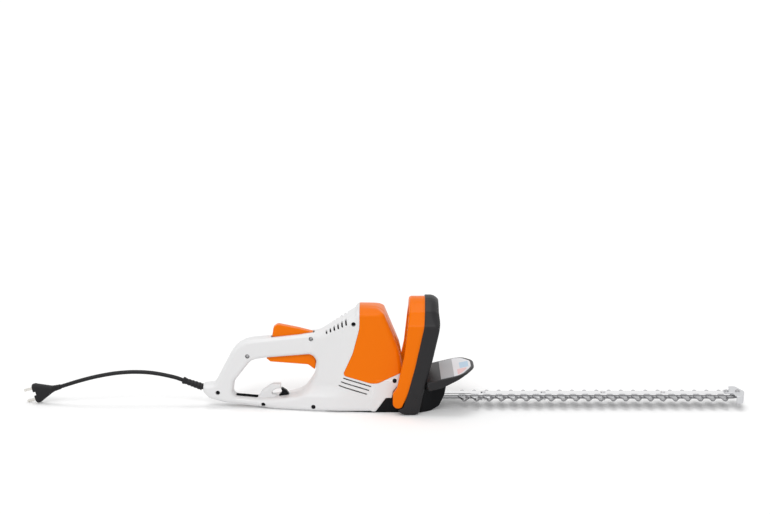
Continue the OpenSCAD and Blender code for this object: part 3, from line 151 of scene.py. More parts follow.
def rounded(corners, n=8):
    """Closed outline from corners (x, y, radius), counter-clockwise."""
    flat = [np.array(c[:2], float) for c in corners]
    return np.array([point for i, c in enumerate(corners)
                     for point in corner_arc(flat[i - 1], flat[i], flat[(i + 1) % len(flat)], c[2], n)])


def inset_corners(corners, d):
    """Corners moved inwards by d, with the radii of outer corners shrunk and of inner corners grown."""
    made = []
    for i, c in enumerate(corners):
        a, b, e = (np.array(q[:2], float) for q in (corners[i - 1], c, corners[(i + 1) % len(corners)]))
        u, v = unit(b - a), unit(e - b)
        left_u, left_v = np.array([-u[1], u[0]]), np.array([-v[1], v[0]])
        moved = b + d * (left_u + left_v) / (1 + left_u @ left_v)
        bend = np.sign(u[0] * v[1] - u[1] * v[0])
        made.append((moved[0], moved[1], 0 if c[2] == 0 else max(c[2] - bend * d, 0.5)))
    return made


def mirrored_plan(half):
    """Closed plan outline from the corners of its far half, given from rear to front."""
    return rounded([(x, -y, r) for x, y, r in half] + [(x, y, r) for x, y, r in reversed(half)])


def capsule(a, b, r, n=10):
    """Outline of a slot of radius r from point a to point b."""
    a, b = np.array(a, float), np.array(b, float)
    across = math.atan2(*(b - a)[::-1]) - math.pi / 2
    ends = [(b, across), (a, across + math.pi)]
    return np.array([c + r * np.array([math.cos(s + math.pi * k / n), math.sin(s + math.pi * k / n)])
                     for c, s in ends for k in range(n + 1)])


# ---------- meshes ----------
def new_object(name, points, faces):
    mesh = bpy.data.meshes.new(name)
    mesh.from_pydata((np.asarray(points, float) * MM).tolist(), [], [[int(i) for i in f] for f in faces])
    obj = bpy.data.objects.new(name, mesh)
    bpy.context.scene.collection.objects.link(obj)
    return obj


def ring_faces(first, second, n):
    """Faces between two rings of n points that start at the given indices."""
    return [[first + i, first + (i + 1) % n, second + (i + 1) % n, second + i] for i in range(n)]


AXIS_ORDER = {"x": (2, 0, 1), "y": (0, 2, 1), "z": (0, 1, 2)}


def loft(name, lines, heights, axis):
    """Solid through outlines with equally many points, each at its height along an axis."""
    n = len(lines[0])
    stacked = np.concatenate([np.column_stack([line, np.full(n, h)]) for line, h in zip(lines, heights)])
    points = stacked[:, AXIS_ORDER[axis]]
    faces = [list(range(n - 1, -1, -1)), [(len(lines) - 1) * n + i for i in range(n)]]
    for j in range(len(lines) - 1):
        faces += ring_faces(j * n, (j + 1) * n, n)
    if axis == "y":
        faces = [f[::-1] for f in faces]
    return new_object(name, points, faces)


def slab(line, lo, hi, axis, name="tool"):
    return loft(name, [np.asarray(line, float)] * 2, [lo, hi], axis)


def box(lo, hi, name="tool"):
    square = [(lo[0], lo[1]), (hi[0], lo[1]), (hi[0], hi[1]), (lo[0], hi[1])]
    return slab(square, lo[2], hi[2], "z", name)


def round_bar(a, b, r, lo, hi, axis, n=40):
    """Cylinder of radius r along an axis, through the point (a, b) of the other two."""
    turns = np.arange(n) * math.tau / n
    return slab(np.column_stack([a + r * np.cos(turns), b + r * np.sin(turns)]), lo, hi, axis)


def lathe(name, profile, n=48):
    """Solid turned around X from a profile of (x, radius), with both ends on the axis."""
    inner = profile[1:-1]
    turns = np.arange(n) * math.tau / n
    points = [(profile[0][0], 0, 0), (profile[-1][0], 0, 0)]
    points += [(x, r * math.cos(t), r * math.sin(t)) for x, r in inner for t in turns]
    faces = [[0, 2 + (k + 1) % n, 2 + k] for k in range(n)]
    last = 2 + (len(inner) - 1) * n
    faces += [[1, last + k, last + (k + 1) % n] for k in range(n)]
    for j in range(len(inner) - 1):
        faces += ring_faces(2 + j * n, 2 + (j + 1) * n, n)
    return new_object(name, points, faces)


def joined(objects, name="tool"):
    """One object with the meshes of several, which don't touch each other."""
    points, faces = [], []
    for obj in objects:
        faces += [[len(points) + i for i in p.vertices] for p in obj.data.polygons]
        points += [tuple(v.co / MM) for v in obj.data.vertices]
        remove(obj)
    return new_object(name, points, faces)


def placed(obj, origin, along, name, across=(0, 0, 1)):
    """The object with its X axis turned to along and its origin moved, in its mesh."""
    x = unit(np.array(along, float))
    y = unit(np.cross(np.array(across, float), x))
    z = np.cross(x, y)
    points = np.array([v.co for v in obj.data.vertices], float) / MM
    turned = points @ np.array([x, y, z]) + np.array(origin, float)
    made = new_object(name, turned, [p.vertices for p in obj.data.polygons])
    remove(obj)
    return made


def remove(obj):
    mesh = obj.data
    bpy.data.objects.remove(obj)
    bpy.data.meshes.remove(mesh)


def boolean(obj, tool, how="DIFFERENCE"):
    """Cuts obj with a tool, joins them or keeps what they share. The tool goes."""
    before = len(obj.data.vertices)
    for solver in ("MANIFOLD", "EXACT"):
        change = obj.modifiers.new("change", "BOOLEAN")
        change.operation = how
        change.object = tool
        change.solver = solver
        graph = bpy.context.evaluated_depsgraph_get()
        mesh = bpy.data.meshes.new_from_object(obj.evaluated_get(graph))
        obj.modifiers.clear()
        old = obj.data
        obj.data = mesh
        bpy.data.meshes.remove(old)
        if len(mesh.vertices) != before:
            break
    remove(tool)
    return obj


def cut(obj, *tools):
    for tool in tools:
        boolean(obj, tool)
    return obj


# ---------- distance fields ----------
def span(lo, hi, step):
    return np.arange(lo - 3 * step, hi + 3.5 * step, step, dtype=np.float32)


def flat_distance(line, a, b):
    """Distance of each point of the grid a x b from a closed outline, negative inside."""
    pa, pb = a[:, None], b[None, :]
    nearest = np.full((len(a), len(b)), 1e9, np.float32)
    inside = np.zeros((len(a), len(b)), bool)
    for (ax, az), (bx, bz) in zip(line, np.roll(line, -1, axis=0)):
        ex, ez = bx - ax, bz - az
        if ex * ex + ez * ez < 1e-12:
            continue
        t = np.clip(((pa - ax) * ex + (pb - az) * ez) / (ex * ex + ez * ez), 0, 1)
        nearest = np.minimum(nearest, (pa - ax - t * ex) ** 2 + (pb - az - t * ez) ** 2)
        if ez != 0:
            inside ^= ((az > pb) != (bz > pb)) & (pa < ex * (pb - az) / ez + ax)
    return np.where(inside, -1, 1) * np.sqrt(nearest)


def meet(a, b, r):
    """What two fields share, with the edge between them rounded by r."""
    u, v = np.maximum(a + r, 0), np.maximum(b + r, 0)
    return np.minimum(np.maximum(a, b), -r) + np.sqrt(u * u + v * v)


def ramp(v, lo, hi):
    """Goes softly from 0 at lo to 1 at hi."""
    t = np.clip((v - lo) / (hi - lo), 0, 1)
    return t * t * (3 - 2 * t)


def merge(a, b, k):
    """Both fields together, with a soft transition about k wide."""
    near = np.maximum(k - np.abs(a - b), 0)
    return np.minimum(a, b) - near * near / (4 * k)


def surface(name, field, axes, step):
    """Mesh of a field's surface."""
    grid = openvdb.FloatGrid(3 * step)
    grid.copyFromArray(np.ascontiguousarray(np.clip(field, -3 * step, 3 * step), dtype=np.float32))
    points, quads = grid.convertToQuads(0.0)
    start = np.array([axis[0] for axis in axes])
    return new_object(name, points * step + start, quads)


def flat_rods(axes, place, r):
    """Field of a round bar along Y at place (x, z)."""
    x, _, z = axes
    return (np.hypot(x[:, None] - place[0], z[None, :] - place[1]) - r)[:, None, :]


# ---------- materials ----------
def shader(name, color, rough, metal=0.0):
    material = bpy.data.materials.new(name)
    material.use_nodes = True
    bsdf = material.node_tree.nodes["Principled BSDF"]
    bsdf.inputs["Base Color"].default_value = (*color, 1)
    bsdf.inputs["Roughness"].default_value = rough
    bsdf.inputs["Metallic"].default_value = metal
    return material, material.node_tree, bsdf


def add_grain(tree, bsdf, stretch, strength, distance):
    """Fine bumps from a noise whose coordinates are stretched along the axes."""
    place = tree.nodes.new("ShaderNodeTexCoord")
    scale = tree.nodes.new("ShaderNodeMapping")
    noise = tree.nodes.new("ShaderNodeTexNoise")
    bump = tree.nodes.new("ShaderNodeBump")
    scale.inputs["Scale"].default_value = stretch
    noise.inputs["Scale"].default_value = 1
    noise.inputs["Detail"].default_value = 3
    bump.inputs["Strength"].default_value = strength
    bump.inputs["Distance"].default_value = distance
    tree.links.new(place.outputs["Object"], scale.inputs["Vector"])
    tree.links.new(scale.outputs["Vector"], noise.inputs["Vector"])
    tree.links.new(noise.outputs["Fac"], bump.inputs["Height"])
    tree.links.new(bump.outputs["Normal"], bsdf.inputs["Normal"])
    return noise


def vary_roughness(tree, bsdf, noise, lo, hi):
    spread = tree.nodes.new("ShaderNodeMapRange")
    spread.inputs["To Min"].default_value = lo
    spread.inputs["To Max"].default_value = hi
    tree.links.new(noise.outputs["Fac"], spread.inputs["Value"])
    tree.links.new(spread.outputs["Result"], bsdf.inputs["Roughness"])


def plastic(name, color, rough, grain=900, strength=0.15, shine=0.5):
    material, tree, bsdf = shader(name, color, rough)
    bsdf.inputs["Specular IOR Level"].default_value = shine
    noise = add_grain(tree, bsdf, (grain, grain, grain), strength, 0.0001)
    vary_roughness(tree, bsdf, noise, rough - 0.04, rough + 0.06)
    return material


def metal(name, color, rough, stretch=(30, 900, 900), strength=0.1):
    material, tree, bsdf = shader(name, color, rough, metal=1.0)
    noise = add_grain(tree, bsdf, stretch, strength, 0.00005)
    vary_roughness(tree, bsdf, noise, rough - 0.06, rough + 0.1)
    return material


WHITE = plastic("white_plastic", (0.77, 0.77, 0.775), 0.34, shine=0.35)
ORANGE = plastic("orange_plastic", (0.87, 0.175, 0.0), 0.3, shine=0.1)
CHARCOAL = plastic("charcoal_plastic", (0.02, 0.0195, 0.021), 0.42, grain=1400, strength=0.3, shine=0.2)
BLACK = plastic("black_plastic", (0.004, 0.0045, 0.0055), 0.45, grain=1400, strength=0.3, shine=0.12)
RUBBER = plastic("black_rubber", (0.01, 0.01, 0.011), 0.5, grain=1100, strength=0.2, shine=0.25)
BLADE = metal("blade_steel", (0.8, 0.8, 0.81), 0.13)
TOOTH = metal("tooth_steel", (0.4, 0.4, 0.41), 0.2)
# Lower blade's steel, darker than the upper blade's: painted shade, as it lies in the upper blade's shade
SHADED_STEEL = metal("steel_painted_shade", (0.26, 0.26, 0.27), 0.25)
TIP = metal("tip_metal", (0.6, 0.605, 0.62), 0.36, stretch=(500, 500, 500))
SCREW = metal("screw_steel", (0.42, 0.42, 0.43), 0.3, stretch=(700, 700, 700))
# Dark screw steel; on the case screws in the deep wells it is painted shade, standing for the shade of those
# wells
DARK_SCREW = metal("dark_screw", (0.02, 0.02, 0.022), 0.45, stretch=(700, 700, 700))
STEEL = metal("plain_steel", (0.66, 0.66, 0.67), 0.25, stretch=(500, 500, 500))
IRON = metal("iron_stack", (0.2, 0.2, 0.21), 0.5, stretch=(40, 40, 2600), strength=0.6)
COPPER = metal("copper_wire", (0.62, 0.3, 0.14), 0.35, stretch=(60, 60, 1800), strength=0.6)
BRONZE = metal("bronze", (0.6, 0.42, 0.2), 0.35, stretch=(500, 500, 500))
NICKEL = metal("nickel", (0.72, 0.7, 0.66), 0.25, stretch=(700, 700, 700))
CARBON = plastic("carbon", (0.02, 0.02, 0.02), 0.7)
FILM = plastic("capacitor_film", (0.03, 0.08, 0.35), 0.3)
SHEATH = plastic("wire_sheath", (0.35, 0.03, 0.02), 0.4)
LABEL_GREY = plastic("label_silver", (0.36, 0.365, 0.38), 0.35)
LABEL_PALE = plastic("label_pale", (0.74, 0.75, 0.78), 0.35)
LABEL_BLUE = plastic("label_blue", (0.42, 0.6, 0.76), 0.35)
LABEL_RED = plastic("label_red", (0.8, 0.5, 0.5), 0.35)

SLOT_FINISH = {
    "white_shell": WHITE, "orange_plastic": ORANGE, "charcoal_plastic": CHARCOAL, "black_plastic": BLACK,
    "black_rubber": RUBBER, "blade_steel": BLADE, "tip_metal": TIP, "screw_steel": DARK_SCREW,
    "plain_steel": STEEL, "iron_stack": IRON, "copper_wire": COPPER, "bronze": BRONZE, "carbon": CARBON,
    "capacitor_film": FILM, "wire_sheath": SHEATH, "nickel": NICKEL}
for entry in frame["record"]["subparts"]:
    cad = frame["nodes"][entry["node"]].data
    cad.materials.clear()
    cad.materials.append(SLOT_FINISH[entry["material_slot"]])


def dress(obj, material, body, stands_for=(), sharp=38):
    """Gives a piece its finish, its body and the CAD nodes that it stands for."""
    obj.data.materials.clear()
    obj.data.materials.append(material)
    obj.data.shade_smooth()
    obj.data.set_sharp_from_angle(angle=math.radians(sharp))
    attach(obj, body)
    if stands_for:
        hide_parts(*stands_for)
    return obj


# ---------- cord, boot and plug ----------
BOOT_ANGLE = math.radians(20)
BOOT_DIR = np.array([-math.cos(BOOT_ANGLE), 0, math.sin(BOOT_ANGLE)])
BOOT_AT = np.array([-338, 0, 32.5])
BOOT_LEN = 38
BOOT_END = BOOT_AT + BOOT_LEN * BOOT_DIR
CORD_POINTS = [
    tuple(BOOT_END + 0.1 * BOOT_DIR), (-386, 0, 49.8), (-398, 0, 52.8), (-411, 0, 55.6), (-424, 0, 57.7),
    (-437, 0, 59), (-450, 0, 59.5), (-463, 0, 59.4), (-477, 0, 58.5), (-490, 0, 57.1), (-502, 0, 55.2),
    (-515, 0, 52.7), (-528, 0, 49.8), (-541, 0.1, 46.4), (-555, 0.9, 42.2), (-569, 3, 37.4),
    (-583, 6.6, 32.2)]


def through(points, per_span=5):
    """A smooth curve through the points."""
    p = [np.array(q, float) for q in points]
    p = [2 * p[0] - p[1]] + p + [2 * p[-1] - p[-2]]
    made = [p[1]]
    for a, b, c, d in zip(p, p[1:], p[2:], p[3:]):
        for k in range(1, per_span + 1):
            t = k / per_span
            made.append(0.5 * (2 * b + (c - a) * t + (2 * a - 5 * b + 4 * c - d) * t * t
                               + (3 * b - a - 3 * c + d) * t ** 3))
    return np.array(made)


def tube(name, path, r, sides=20):
    ways = np.gradient(path, axis=0)
    points = []
    for at, way in zip(path, ways):
        way = unit(way)
        u = unit(np.cross([0, 0, 1], way))
        v = np.cross(way, u)
        points += [at + r * (u * math.cos(t) + v * math.sin(t)) for t in np.arange(sides) * math.tau / sides]
    faces = [f for j in range(len(path) - 1) for f in ring_faces(j * sides, (j + 1) * sides, sides)]
    faces += [list(range(sides - 1, -1, -1)), [(len(path) - 1) * sides + i for i in range(sides)]]
    return new_object(name, points, faces)


cord_path = through(CORD_POINTS)
cord = dress(tube("mains_cord", cord_path, CORD_D / 2), RUBBER, "housing", ["cord"])


def boot_profile():
    """Strain relief: a collar in the handle, five ribs and a plain sleeve."""
    made = [(-20, 0), (-20, 3.9), (2.5, 3.9), (2.5, 5.9), (2.9, 6.3)]
    for i in range(5):
        outer, x = 6.3 - 0.2 * i, 4 + 6 * i
        made += [(x - 0.3, outer), (x, outer - 0.2), (x + 0.5, outer - 0.6), (x + 2.5, outer - 0.7),
                 (x + 3, outer - 0.3), (x + 3.3, outer - 0.2)]
    return made + [(BOOT_LEN - 5, 5.3), (BOOT_LEN - 4.5, 5.9), (BOOT_LEN - 4.1, 6), (BOOT_LEN - 0.8, 6),
                   (BOOT_LEN, 5.2), (BOOT_LEN, 0)]


boot = placed(lathe("boot", boot_profile()), BOOT_AT, BOOT_DIR, "cord_sleeve")
dress(boot, RUBBER, "housing", ["cord_boot"])

PLUG_TILT, PLUG_YAW = math.radians(17.5), math.radians(16)
PLUG_DIR = np.array([-math.cos(PLUG_TILT) * math.cos(PLUG_YAW), math.cos(PLUG_TILT) * math.sin(PLUG_YAW),
                     -math.sin(PLUG_TILT)])
PLUG_AT = np.array(CORD_POINTS[-1]) + 0.3 * PLUG_DIR
PLUG_NECK, PLUG_LEN, PLUG_HALF_W, PLUG_HALF_T = 16, 51, 17, 7.5
PIN_R, PIN_LEN, PIN_SPACE = 2.4, 19, 19


def plug_placed(obj, name):
    """From the plug's own frame, X towards its pins and Y across them, to the row frame."""
    turn = Matrix.Rotation(-PLUG_YAW, 3, "Z") @ Matrix.Rotation(-PLUG_TILT, 3, "Y")
    turn = turn @ Matrix.Diagonal((-1, 1, 1))
    points = np.array([v.co for v in obj.data.vertices], float) / MM
    turned = points @ np.array(turn).T + PLUG_AT
    made = new_object(name, turned, [list(p.vertices)[::-1] for p in obj.data.polygons])
    remove(obj)
    return made


def plug_body():
    step = 0.45 * COARSE
    axes = (span(0, PLUG_LEN, step), span(-PLUG_HALF_T, PLUG_HALF_T, step),
            span(-PLUG_HALF_W, PLUG_HALF_W, step))
    x, y, z = axes[0][:, None, None], axes[1][None, :, None], axes[2][None, None, :]
    # A round end at the neck that widens and thickens to an oval face
    share = np.clip((x - PLUG_NECK) / (PLUG_LEN - 8 - PLUG_NECK), 0, 1)
    thick = 5.6 + (6.5 - 5.6) * share
    wide = np.maximum(5.7 + (PLUG_HALF_W - 1 - 5.7) * share - thick, 0)
    oval = np.hypot(y, np.maximum(np.abs(z) - wide, 0)) - thick
    body = meet(oval * 0.9, np.maximum(PLUG_NECK - 1 - x, x - PLUG_LEN + 7), 1.5)
    face = np.hypot(y, np.maximum(np.abs(z) - (PLUG_HALF_W - PLUG_HALF_T), 0)) - PLUG_HALF_T
    flange = meet(face, np.abs(x - PLUG_LEN + 3.75) - 3.75, 1.4)
    # Ribbed neck
    radius = 4.2 + 1.4 * np.clip(x / PLUG_NECK, 0, 1)
    ribs = 0.9 * (np.mod(x + 0.4, 4) < 1.5) * (x > 2)
    neck = meet(np.hypot(y, z) - radius + ribs, np.maximum(-x, x - PLUG_NECK - 2), 0.4)
    field = merge(merge(neck, body, 1.5), flange, 0.8)
    plug = surface("tool", field, axes, step)
    return cut(plug, box((PLUG_LEN - 5, -20, -3.2), (PLUG_LEN + 7, 3, 3.2)))


plug = dress(plug_placed(plug_body(), "mains_plug"), RUBBER, "housing", ["plug"])
pin_profile = [(0, 0), (0, PIN_R), (PIN_LEN - 1.4, PIN_R), (PIN_LEN - 0.6, PIN_R - 0.5),
               (PIN_LEN - 0.1, PIN_R - 1.4), (PIN_LEN, 0)]
pins = []
for side in (-1, 1):
    pin = lathe("tool", [(x + PLUG_LEN + 0.02, r) for x, r in pin_profile], 32)
    pin.data.transform(Matrix.Translation((0, 0, side * PIN_SPACE / 2 * MM)))
    pins.append(pin)
plug_pins = dress(plug_placed(joined(pins), "mains_pins"), NICKEL, "housing", ["plug_pins"])


# ---------- white shells and orange cover ----------
def body_field(axes):
    x, y, z = axes
    across = np.abs(y)[None, :, None]
    side = flat_distance(rounded(BODY_CORNERS), x, z)[:, None, :]
    hole = flat_distance(rounded(OPENING_CORNERS), x, z)[:, None, :]
    limb = flat_distance(mirrored_plan(LIMB_HALF), x, y)[:, :, None]
    motor = flat_distance(mirrored_plan(MOTOR_HALF), x, y)[:, :, None]
    # The limb's wider plan flows into the motor body's from 24 to 46 mm up
    rise = ramp(z, 24, 46)[None, None, :]
    wide = meet(side, limb * (1 - rise) + motor * rise, BODY_ROUND)
    grip = meet(side, across - GRIP_HALF_W, GRIP_ROUND)
    # The top is a wide arc across the body
    half = BODY_HALF_W - 6
    radius = (half * half + ROOF_CROWN * ROOF_CROWN) / (2 * ROOF_CROWN)
    roof = (np.hypot(y[:, None], z[None, :] - BODY_TOP_Z + radius) - radius)[None, :, :]
    roof = np.where(z > BODY_TOP_Z - 38, roof, -20)
    form = meet(meet(merge(grip, wide, 3), roof, 2), -hole, GRIP_ROUND)
    hook = meet(flat_distance(rounded(HOOK_CORNERS), x, z)[:, None, :], across - 7, 1.5)
    skirt = flat_distance(rounded(SKIRT_CORNERS), x, z)[:, None, :]
    skirt = meet(skirt, np.abs(across - BODY_HALF_W + 1.6) - 2.8, 1)
    return merge(merge(form, hook, 2), skirt, 1)


def slot_walls(axes):
    """Field of the block around the cord slot."""
    x, y, z = axes
    return np.maximum(np.maximum(np.abs(x + 264.5)[:, None, None] - 21.5, np.abs(y)[None, :, None] - 8.5),
                      (z - 30)[None, None, :])


def hollow_field(field, axes):
    """What is hollowed out of the body, with the screw bosses and the slot's walls left standing."""
    inside = field + WALL
    for place in GRIP_SCREWS + BODY_SCREWS:
        inside = np.maximum(inside, -flat_rods(axes, place, SCREW_R + 2.8))
    return np.maximum(inside, -slot_walls(axes))


def screw_recess(place, half_w):
    return [round_bar(*place, SCREW_HEAD_R + 0.4, -half_w - 20, -half_w + 5, "y")]


VENT_FROM_Y = 21


def vents():
    """Cooling slots: six short ones in each side below the crest, three long ones right through."""
    upper = [capsule((-127.7 + 6.65 * i, 133.3 + 3.45 * i), (-128.3 + 6.55 * i, 137.8 + 4 * i), 1.5)
             for i in range(6)]
    lower = [capsule((-99 - 3.8 * i, 59.5 - 6.6 * i), (-54 - 3.5 * i, 45.5 - 6.6 * i), 1.1) for i in range(3)]
    cuts = [slab(line, *sorted((side * VENT_FROM_Y, side * 60)), "y") for line in upper for side in (-1, 1)]
    return joined(cuts + [slab(line, -60, 60, "y") for line in lower])


def shell_recesses():
    """Wells of the shell screws' heads, with the front screws' on both sides."""
    wells = [r for p in GRIP_SCREWS for r in screw_recess(p, GRIP_HALF_W)]
    wells += [r for p in BODY_SCREWS for r in screw_recess(p, BODY_HALF_W - 4)]
    wells += [round_bar(*POST_SCREW, SCREW_HEAD_R + 0.4, lo, hi, "y")
              for lo, hi in ((-54, -POST_HEAD_Y), (POST_HEAD_Y, 54))]
    return joined(wells)


def twin(obj, name):
    """A second object with its own copy of the mesh."""
    made = obj.copy()
    made.data = obj.data.copy()
    made.name = name
    bpy.context.scene.collection.objects.link(made)
    return made


def make_body():
    step = 0.9 * COARSE
    reach = BODY_HALF_W + 1.2
    axes = (span(-338, 0, step), span(-reach, reach, step), span(0, BODY_TOP_Z, step))
    field = body_field(axes)
    outer = surface("body", field, axes, step)
    thin = tuple(axis[::2] for axis in axes)
    inner = surface("tool", hollow_field(field[::2, ::2, ::2], thin), thin, 2 * step)
    boolean(outer, inner)
    slot_half = ROCKER_HALF_W + 0.8
    cover = twin(outer, "top_cover")
    boolean(cover, slab(rounded(inset_corners(COVER_CORNERS, 0.15)), -60, 60, "y"), "INTERSECT")
    cut(cover, box((-200, -60, 20), (10, 60, PLATE_Z + 6.5)))
    cut(outer, slab(rounded(inset_corners(COVER_CORNERS, -0.15)), -60, 60, "y"),
        box((ROCKER_X - 26.2, -slot_half, 108), (ROCKER_X + 47, slot_half, 135)),
        box((ROCKER_X - 38, -slot_half, 74), (ROCKER_X + 54, slot_half, 98.5)),
        box((ROCKER_X + 46, -slot_half, 60), (ROCKER_X + 54, slot_half, 80)),
        box((-283, -5.5, -5), (-246, 5.5, 30)), vents(),
        box((-128.3, -46, -1), (20, 46, 2.8)), box((-66, -41.5, 0), (20, 41.5, 50)))
    cut(outer, shell_recesses())
    bore = placed(lathe("tool", [(-7, 0), (-7, 4.2), (21, 4.2), (21, 0)]), BOOT_AT, -BOOT_DIR, "tool")
    cut(outer, bore)
    left = twin(outer, "shell_far")
    outer.name = "shell_near"
    cut(outer, box((-400, -0.12, -10), (40, 100, 260)))
    cut(left, box((-400, -100, -10), (40, 0.12, 260)))
    dress(outer, WHITE, "housing", ["shell_right"])
    dress(left, WHITE, "housing", ["shell_left"])
    dress(cover, ORANGE, "housing", ["motor_cover"])


make_body()


def make_slot_painted_shade():
    """Painted shade: a black sheet lining the slot that the extension cord goes through, standing for the
    shade inside the slot.
    """
    lining = slab(capsule((-280.5, 0), (-248.5, 0), 5.45), 10, 24, "z", "slot_painted_shade")
    cut(lining, slab(capsule((-280.5, 0), (-248.5, 0), 4.9), 5, 30, "z"))
    boolean(lining, slab([(-290, 5), (-240, 5), (-240, 17.5), (-290, 22)], -10, 10, "y"), "INTERSECT")
    dress(lining, BLACK, "housing")


# Black sheet in the cord slot: painted shade
make_slot_painted_shade()

# ---------- front loop handle and bail ----------
CROWN_HALF_W = LOOP_HALF_W - 15
LOOP_CORNERS = [
    (-LOOP_HALF_W, -20, 0), (LOOP_HALF_W, -20, 0), (LOOP_HALF_W, LOOP_TOP_Z - 41, 12),
    (CROWN_HALF_W, LOOP_TOP_Z - 18.4, 12), (0, LOOP_TOP_Z + 9, 60),
    (-CROWN_HALF_W, LOOP_TOP_Z - 18.4, 12), (-LOOP_HALF_W, LOOP_TOP_Z - 41, 12)]
BAIL_DEPTH = 6
RECESS_DEPTH = BAIL_DEPTH + (LOOP_TOP_Z - BAIL_Z) * math.sin(BAIL_TRAVEL) + 0.8
BAIL_OUT = LOOP_WALL + BAIL_GAP
BAIL_IN = LOOP_LEG - LOOP_WALL - BAIL_GAP
BAIL_DROP = 51 * math.sin(BAIL_TRAVEL) + 0.1
BAIL_WALL = 2.4
LEG_FRONT = [(33, 32, 40), (49.5, 95, 80)]
LEG_GAP = 0.6
LOOP_FRONT = [(26, 0, 10)] + LEG_FRONT + [(62.5, 152, 150), (62, 260, 0)]
LOOP_REAR = [(37, 260, 0), (37, LOOP_TOP_Z, 10), (35.2, 151, 100), (20, 82, 60), (9, 41, 15), (0.5, 14, 6),
             (-10, 8.5, 2), (4, 0, 5)]


def band_field(y, z, outer, inner):
    """Field in YZ of the ring between two insets of the loop's outline, with straight legs."""
    ring = flat_distance(rounded(LOOP_CORNERS), y, z)
    legs = np.maximum(np.abs(y)[:, None] - (LOOP_HALF_W - inner), (z - 60)[None, :])
    return np.maximum(ring + outer, -np.minimum(ring + inner, legs))[None, :, :]


def ring_band(outer, inner, x0, x1):
    """The same ring as a crisp solid."""
    made = slab(rounded(inset_corners(LOOP_CORNERS, outer)), x0, x1, "x")
    cut(made, slab(rounded(inset_corners(LOOP_CORNERS, inner)), x0 - 1, x1 + 1, "x"))
    half = LOOP_HALF_W - inner
    return cut(made, box((x0 - 1, -half, -30), (x1 + 1, half, 60)))


def make_loop():
    step = 0.8 * COARSE
    axes = (span(-6, 62, step), span(-LOOP_HALF_W, LOOP_HALF_W, step), span(0, LOOP_TOP_Z, step))
    x, y, z = axes
    band = band_field(y, z, 0, LOOP_LEG)
    front = flat_distance(rounded([(-80, 0, 0)] + LOOP_FRONT + [(-80, 260, 0)]), x, z)[:, None, :]
    rear = flat_distance(rounded([(140, 0, 0), (140, 260, 0)] + LOOP_REAR), x, z)[:, None, :]
    edge = 6.5 + 11 * ramp(z, LOOP_TOP_Z - 50, LOOP_TOP_Z - 20)[None, None, :]
    field = np.maximum(meet(band, front, edge), meet(band, rear, 1))
    pad = flat_distance(rounded([(9, 5, 3), (21, 5, 3), (30, 38, 3), (14, 38, 3)]), x, z)[:, None, :]
    lining = np.abs(np.abs(y) - 46)[None, :, None] - 2
    field = np.minimum(field, np.maximum(pad, lining))
    loop = surface("front_loop", field, axes, step)
    recess = rounded([(-30, 10, 0), (1 + RECESS_DEPTH, 8, 6), (9 + RECESS_DEPTH, 38, 12),
                      (20 + RECESS_DEPTH, 80, 60), (35.2 + RECESS_DEPTH, 151, 100),
                      (37 + RECESS_DEPTH, 192, 0), (37 + RECESS_DEPTH, 260, 0), (-30, 260, 0)])
    tool = ring_band(LOOP_WALL, LOOP_LEG - LOOP_WALL, -40, 80)
    cut(loop, boolean(tool, slab(recess, -70, 70, "y"), "INTERSECT"))
    for side in (-1, 1):
        for place in HANDLE_SCREWS:
            lo, hi = sorted((side * HANDLE_HEAD_Y, side * (LOOP_HALF_W + 3)))
            cut(loop, round_bar(*place, SCREW_HEAD_R + 0.3, lo, hi, "y"))
            lo, hi = sorted((side * 35, side * (LOOP_HALF_W - 5)))
            cut(loop, round_bar(*place, SCREW_R + 0.1, lo, hi, "y"))
    dress(loop, CHARCOAL, "housing", ["loop_handle"])


def make_bail():
    step = 0.7 * COARSE
    side = rounded([(-17, 8.5, 9), (-2, 13, 7), (11, 41, 12), (20 + BAIL_DEPTH, 82, 60),
                    (35.2 + BAIL_DEPTH, 151, 100), (37 + BAIL_DEPTH, 192, 0), (37 + BAIL_DEPTH, 260, 0),
                    (12, 260, 0), (9.5, 165, 60), (2.5, 102, 60), (-10, 46, 8), (-17, 36, 5)])
    half = LOOP_HALF_W - BAIL_OUT
    axes = (span(-17, 44, step), span(-half, half, step), span(8.5, LOOP_TOP_Z - BAIL_OUT, step))
    x, y, z = axes
    edge = 1.8 + 3.2 * ramp(z, LOOP_TOP_Z - 45, LOOP_TOP_Z - 20)[None, None, :]
    field = meet(band_field(y, z, BAIL_OUT, BAIL_IN), flat_distance(side, x, z)[:, None, :], edge)
    bail = surface("switch_bail", field, axes, step)
    crown = ring_band(BAIL_IN - BAIL_DROP, LOOP_LEG, -40, 80)
    cut(bail, boolean(crown, box((27, -70, LOOP_TOP_Z - 52), (80, 70, LOOP_TOP_Z)), "INTERSECT"))
    channel = rounded([(-8, 41, 3), (16, 44, 10), (60, 82, 0), (60, 260, 0), (16, 260, 0), (13, 165, 60),
                       (6, 102, 60), (-6.3, 47, 8)])
    inside = ring_band(BAIL_OUT + BAIL_WALL, BAIL_IN - BAIL_DROP - BAIL_WALL, -40, 80)
    cut(bail, boolean(inside, slab(channel, -70, 70, "y"), "INTERSECT"))
    hub = LOOP_HALF_W - BAIL_OUT - 3
    cut(bail, round_bar(BAIL_X, BAIL_Z, 4, 40, hub, "y"), round_bar(BAIL_X, BAIL_Z, 4, -hub, -40, "y"))
    dress(bail, ORANGE, "bail_lever", ["bail"])


make_loop()
make_bail()

# ---------- gearbox ----------
GEAR_SIDE = [(-128, 0, 0), (48, 0, 8), (61, 8, 8), (70, 27, 10), (74, 44, 3), (74, 48, 3), (30, 48, 0),
             (30, 42, 0), (-57.4, 42, 0), (-57.4, 2.6, 0), (-128, 2.6, 0)]
GEAR_HALF = [(-128, 32, 10), (-58, 41, 10), (0, 41, 0), (2, 44, 0), (32, 44, 12), (50, 30, 12), (75, 30, 8)]


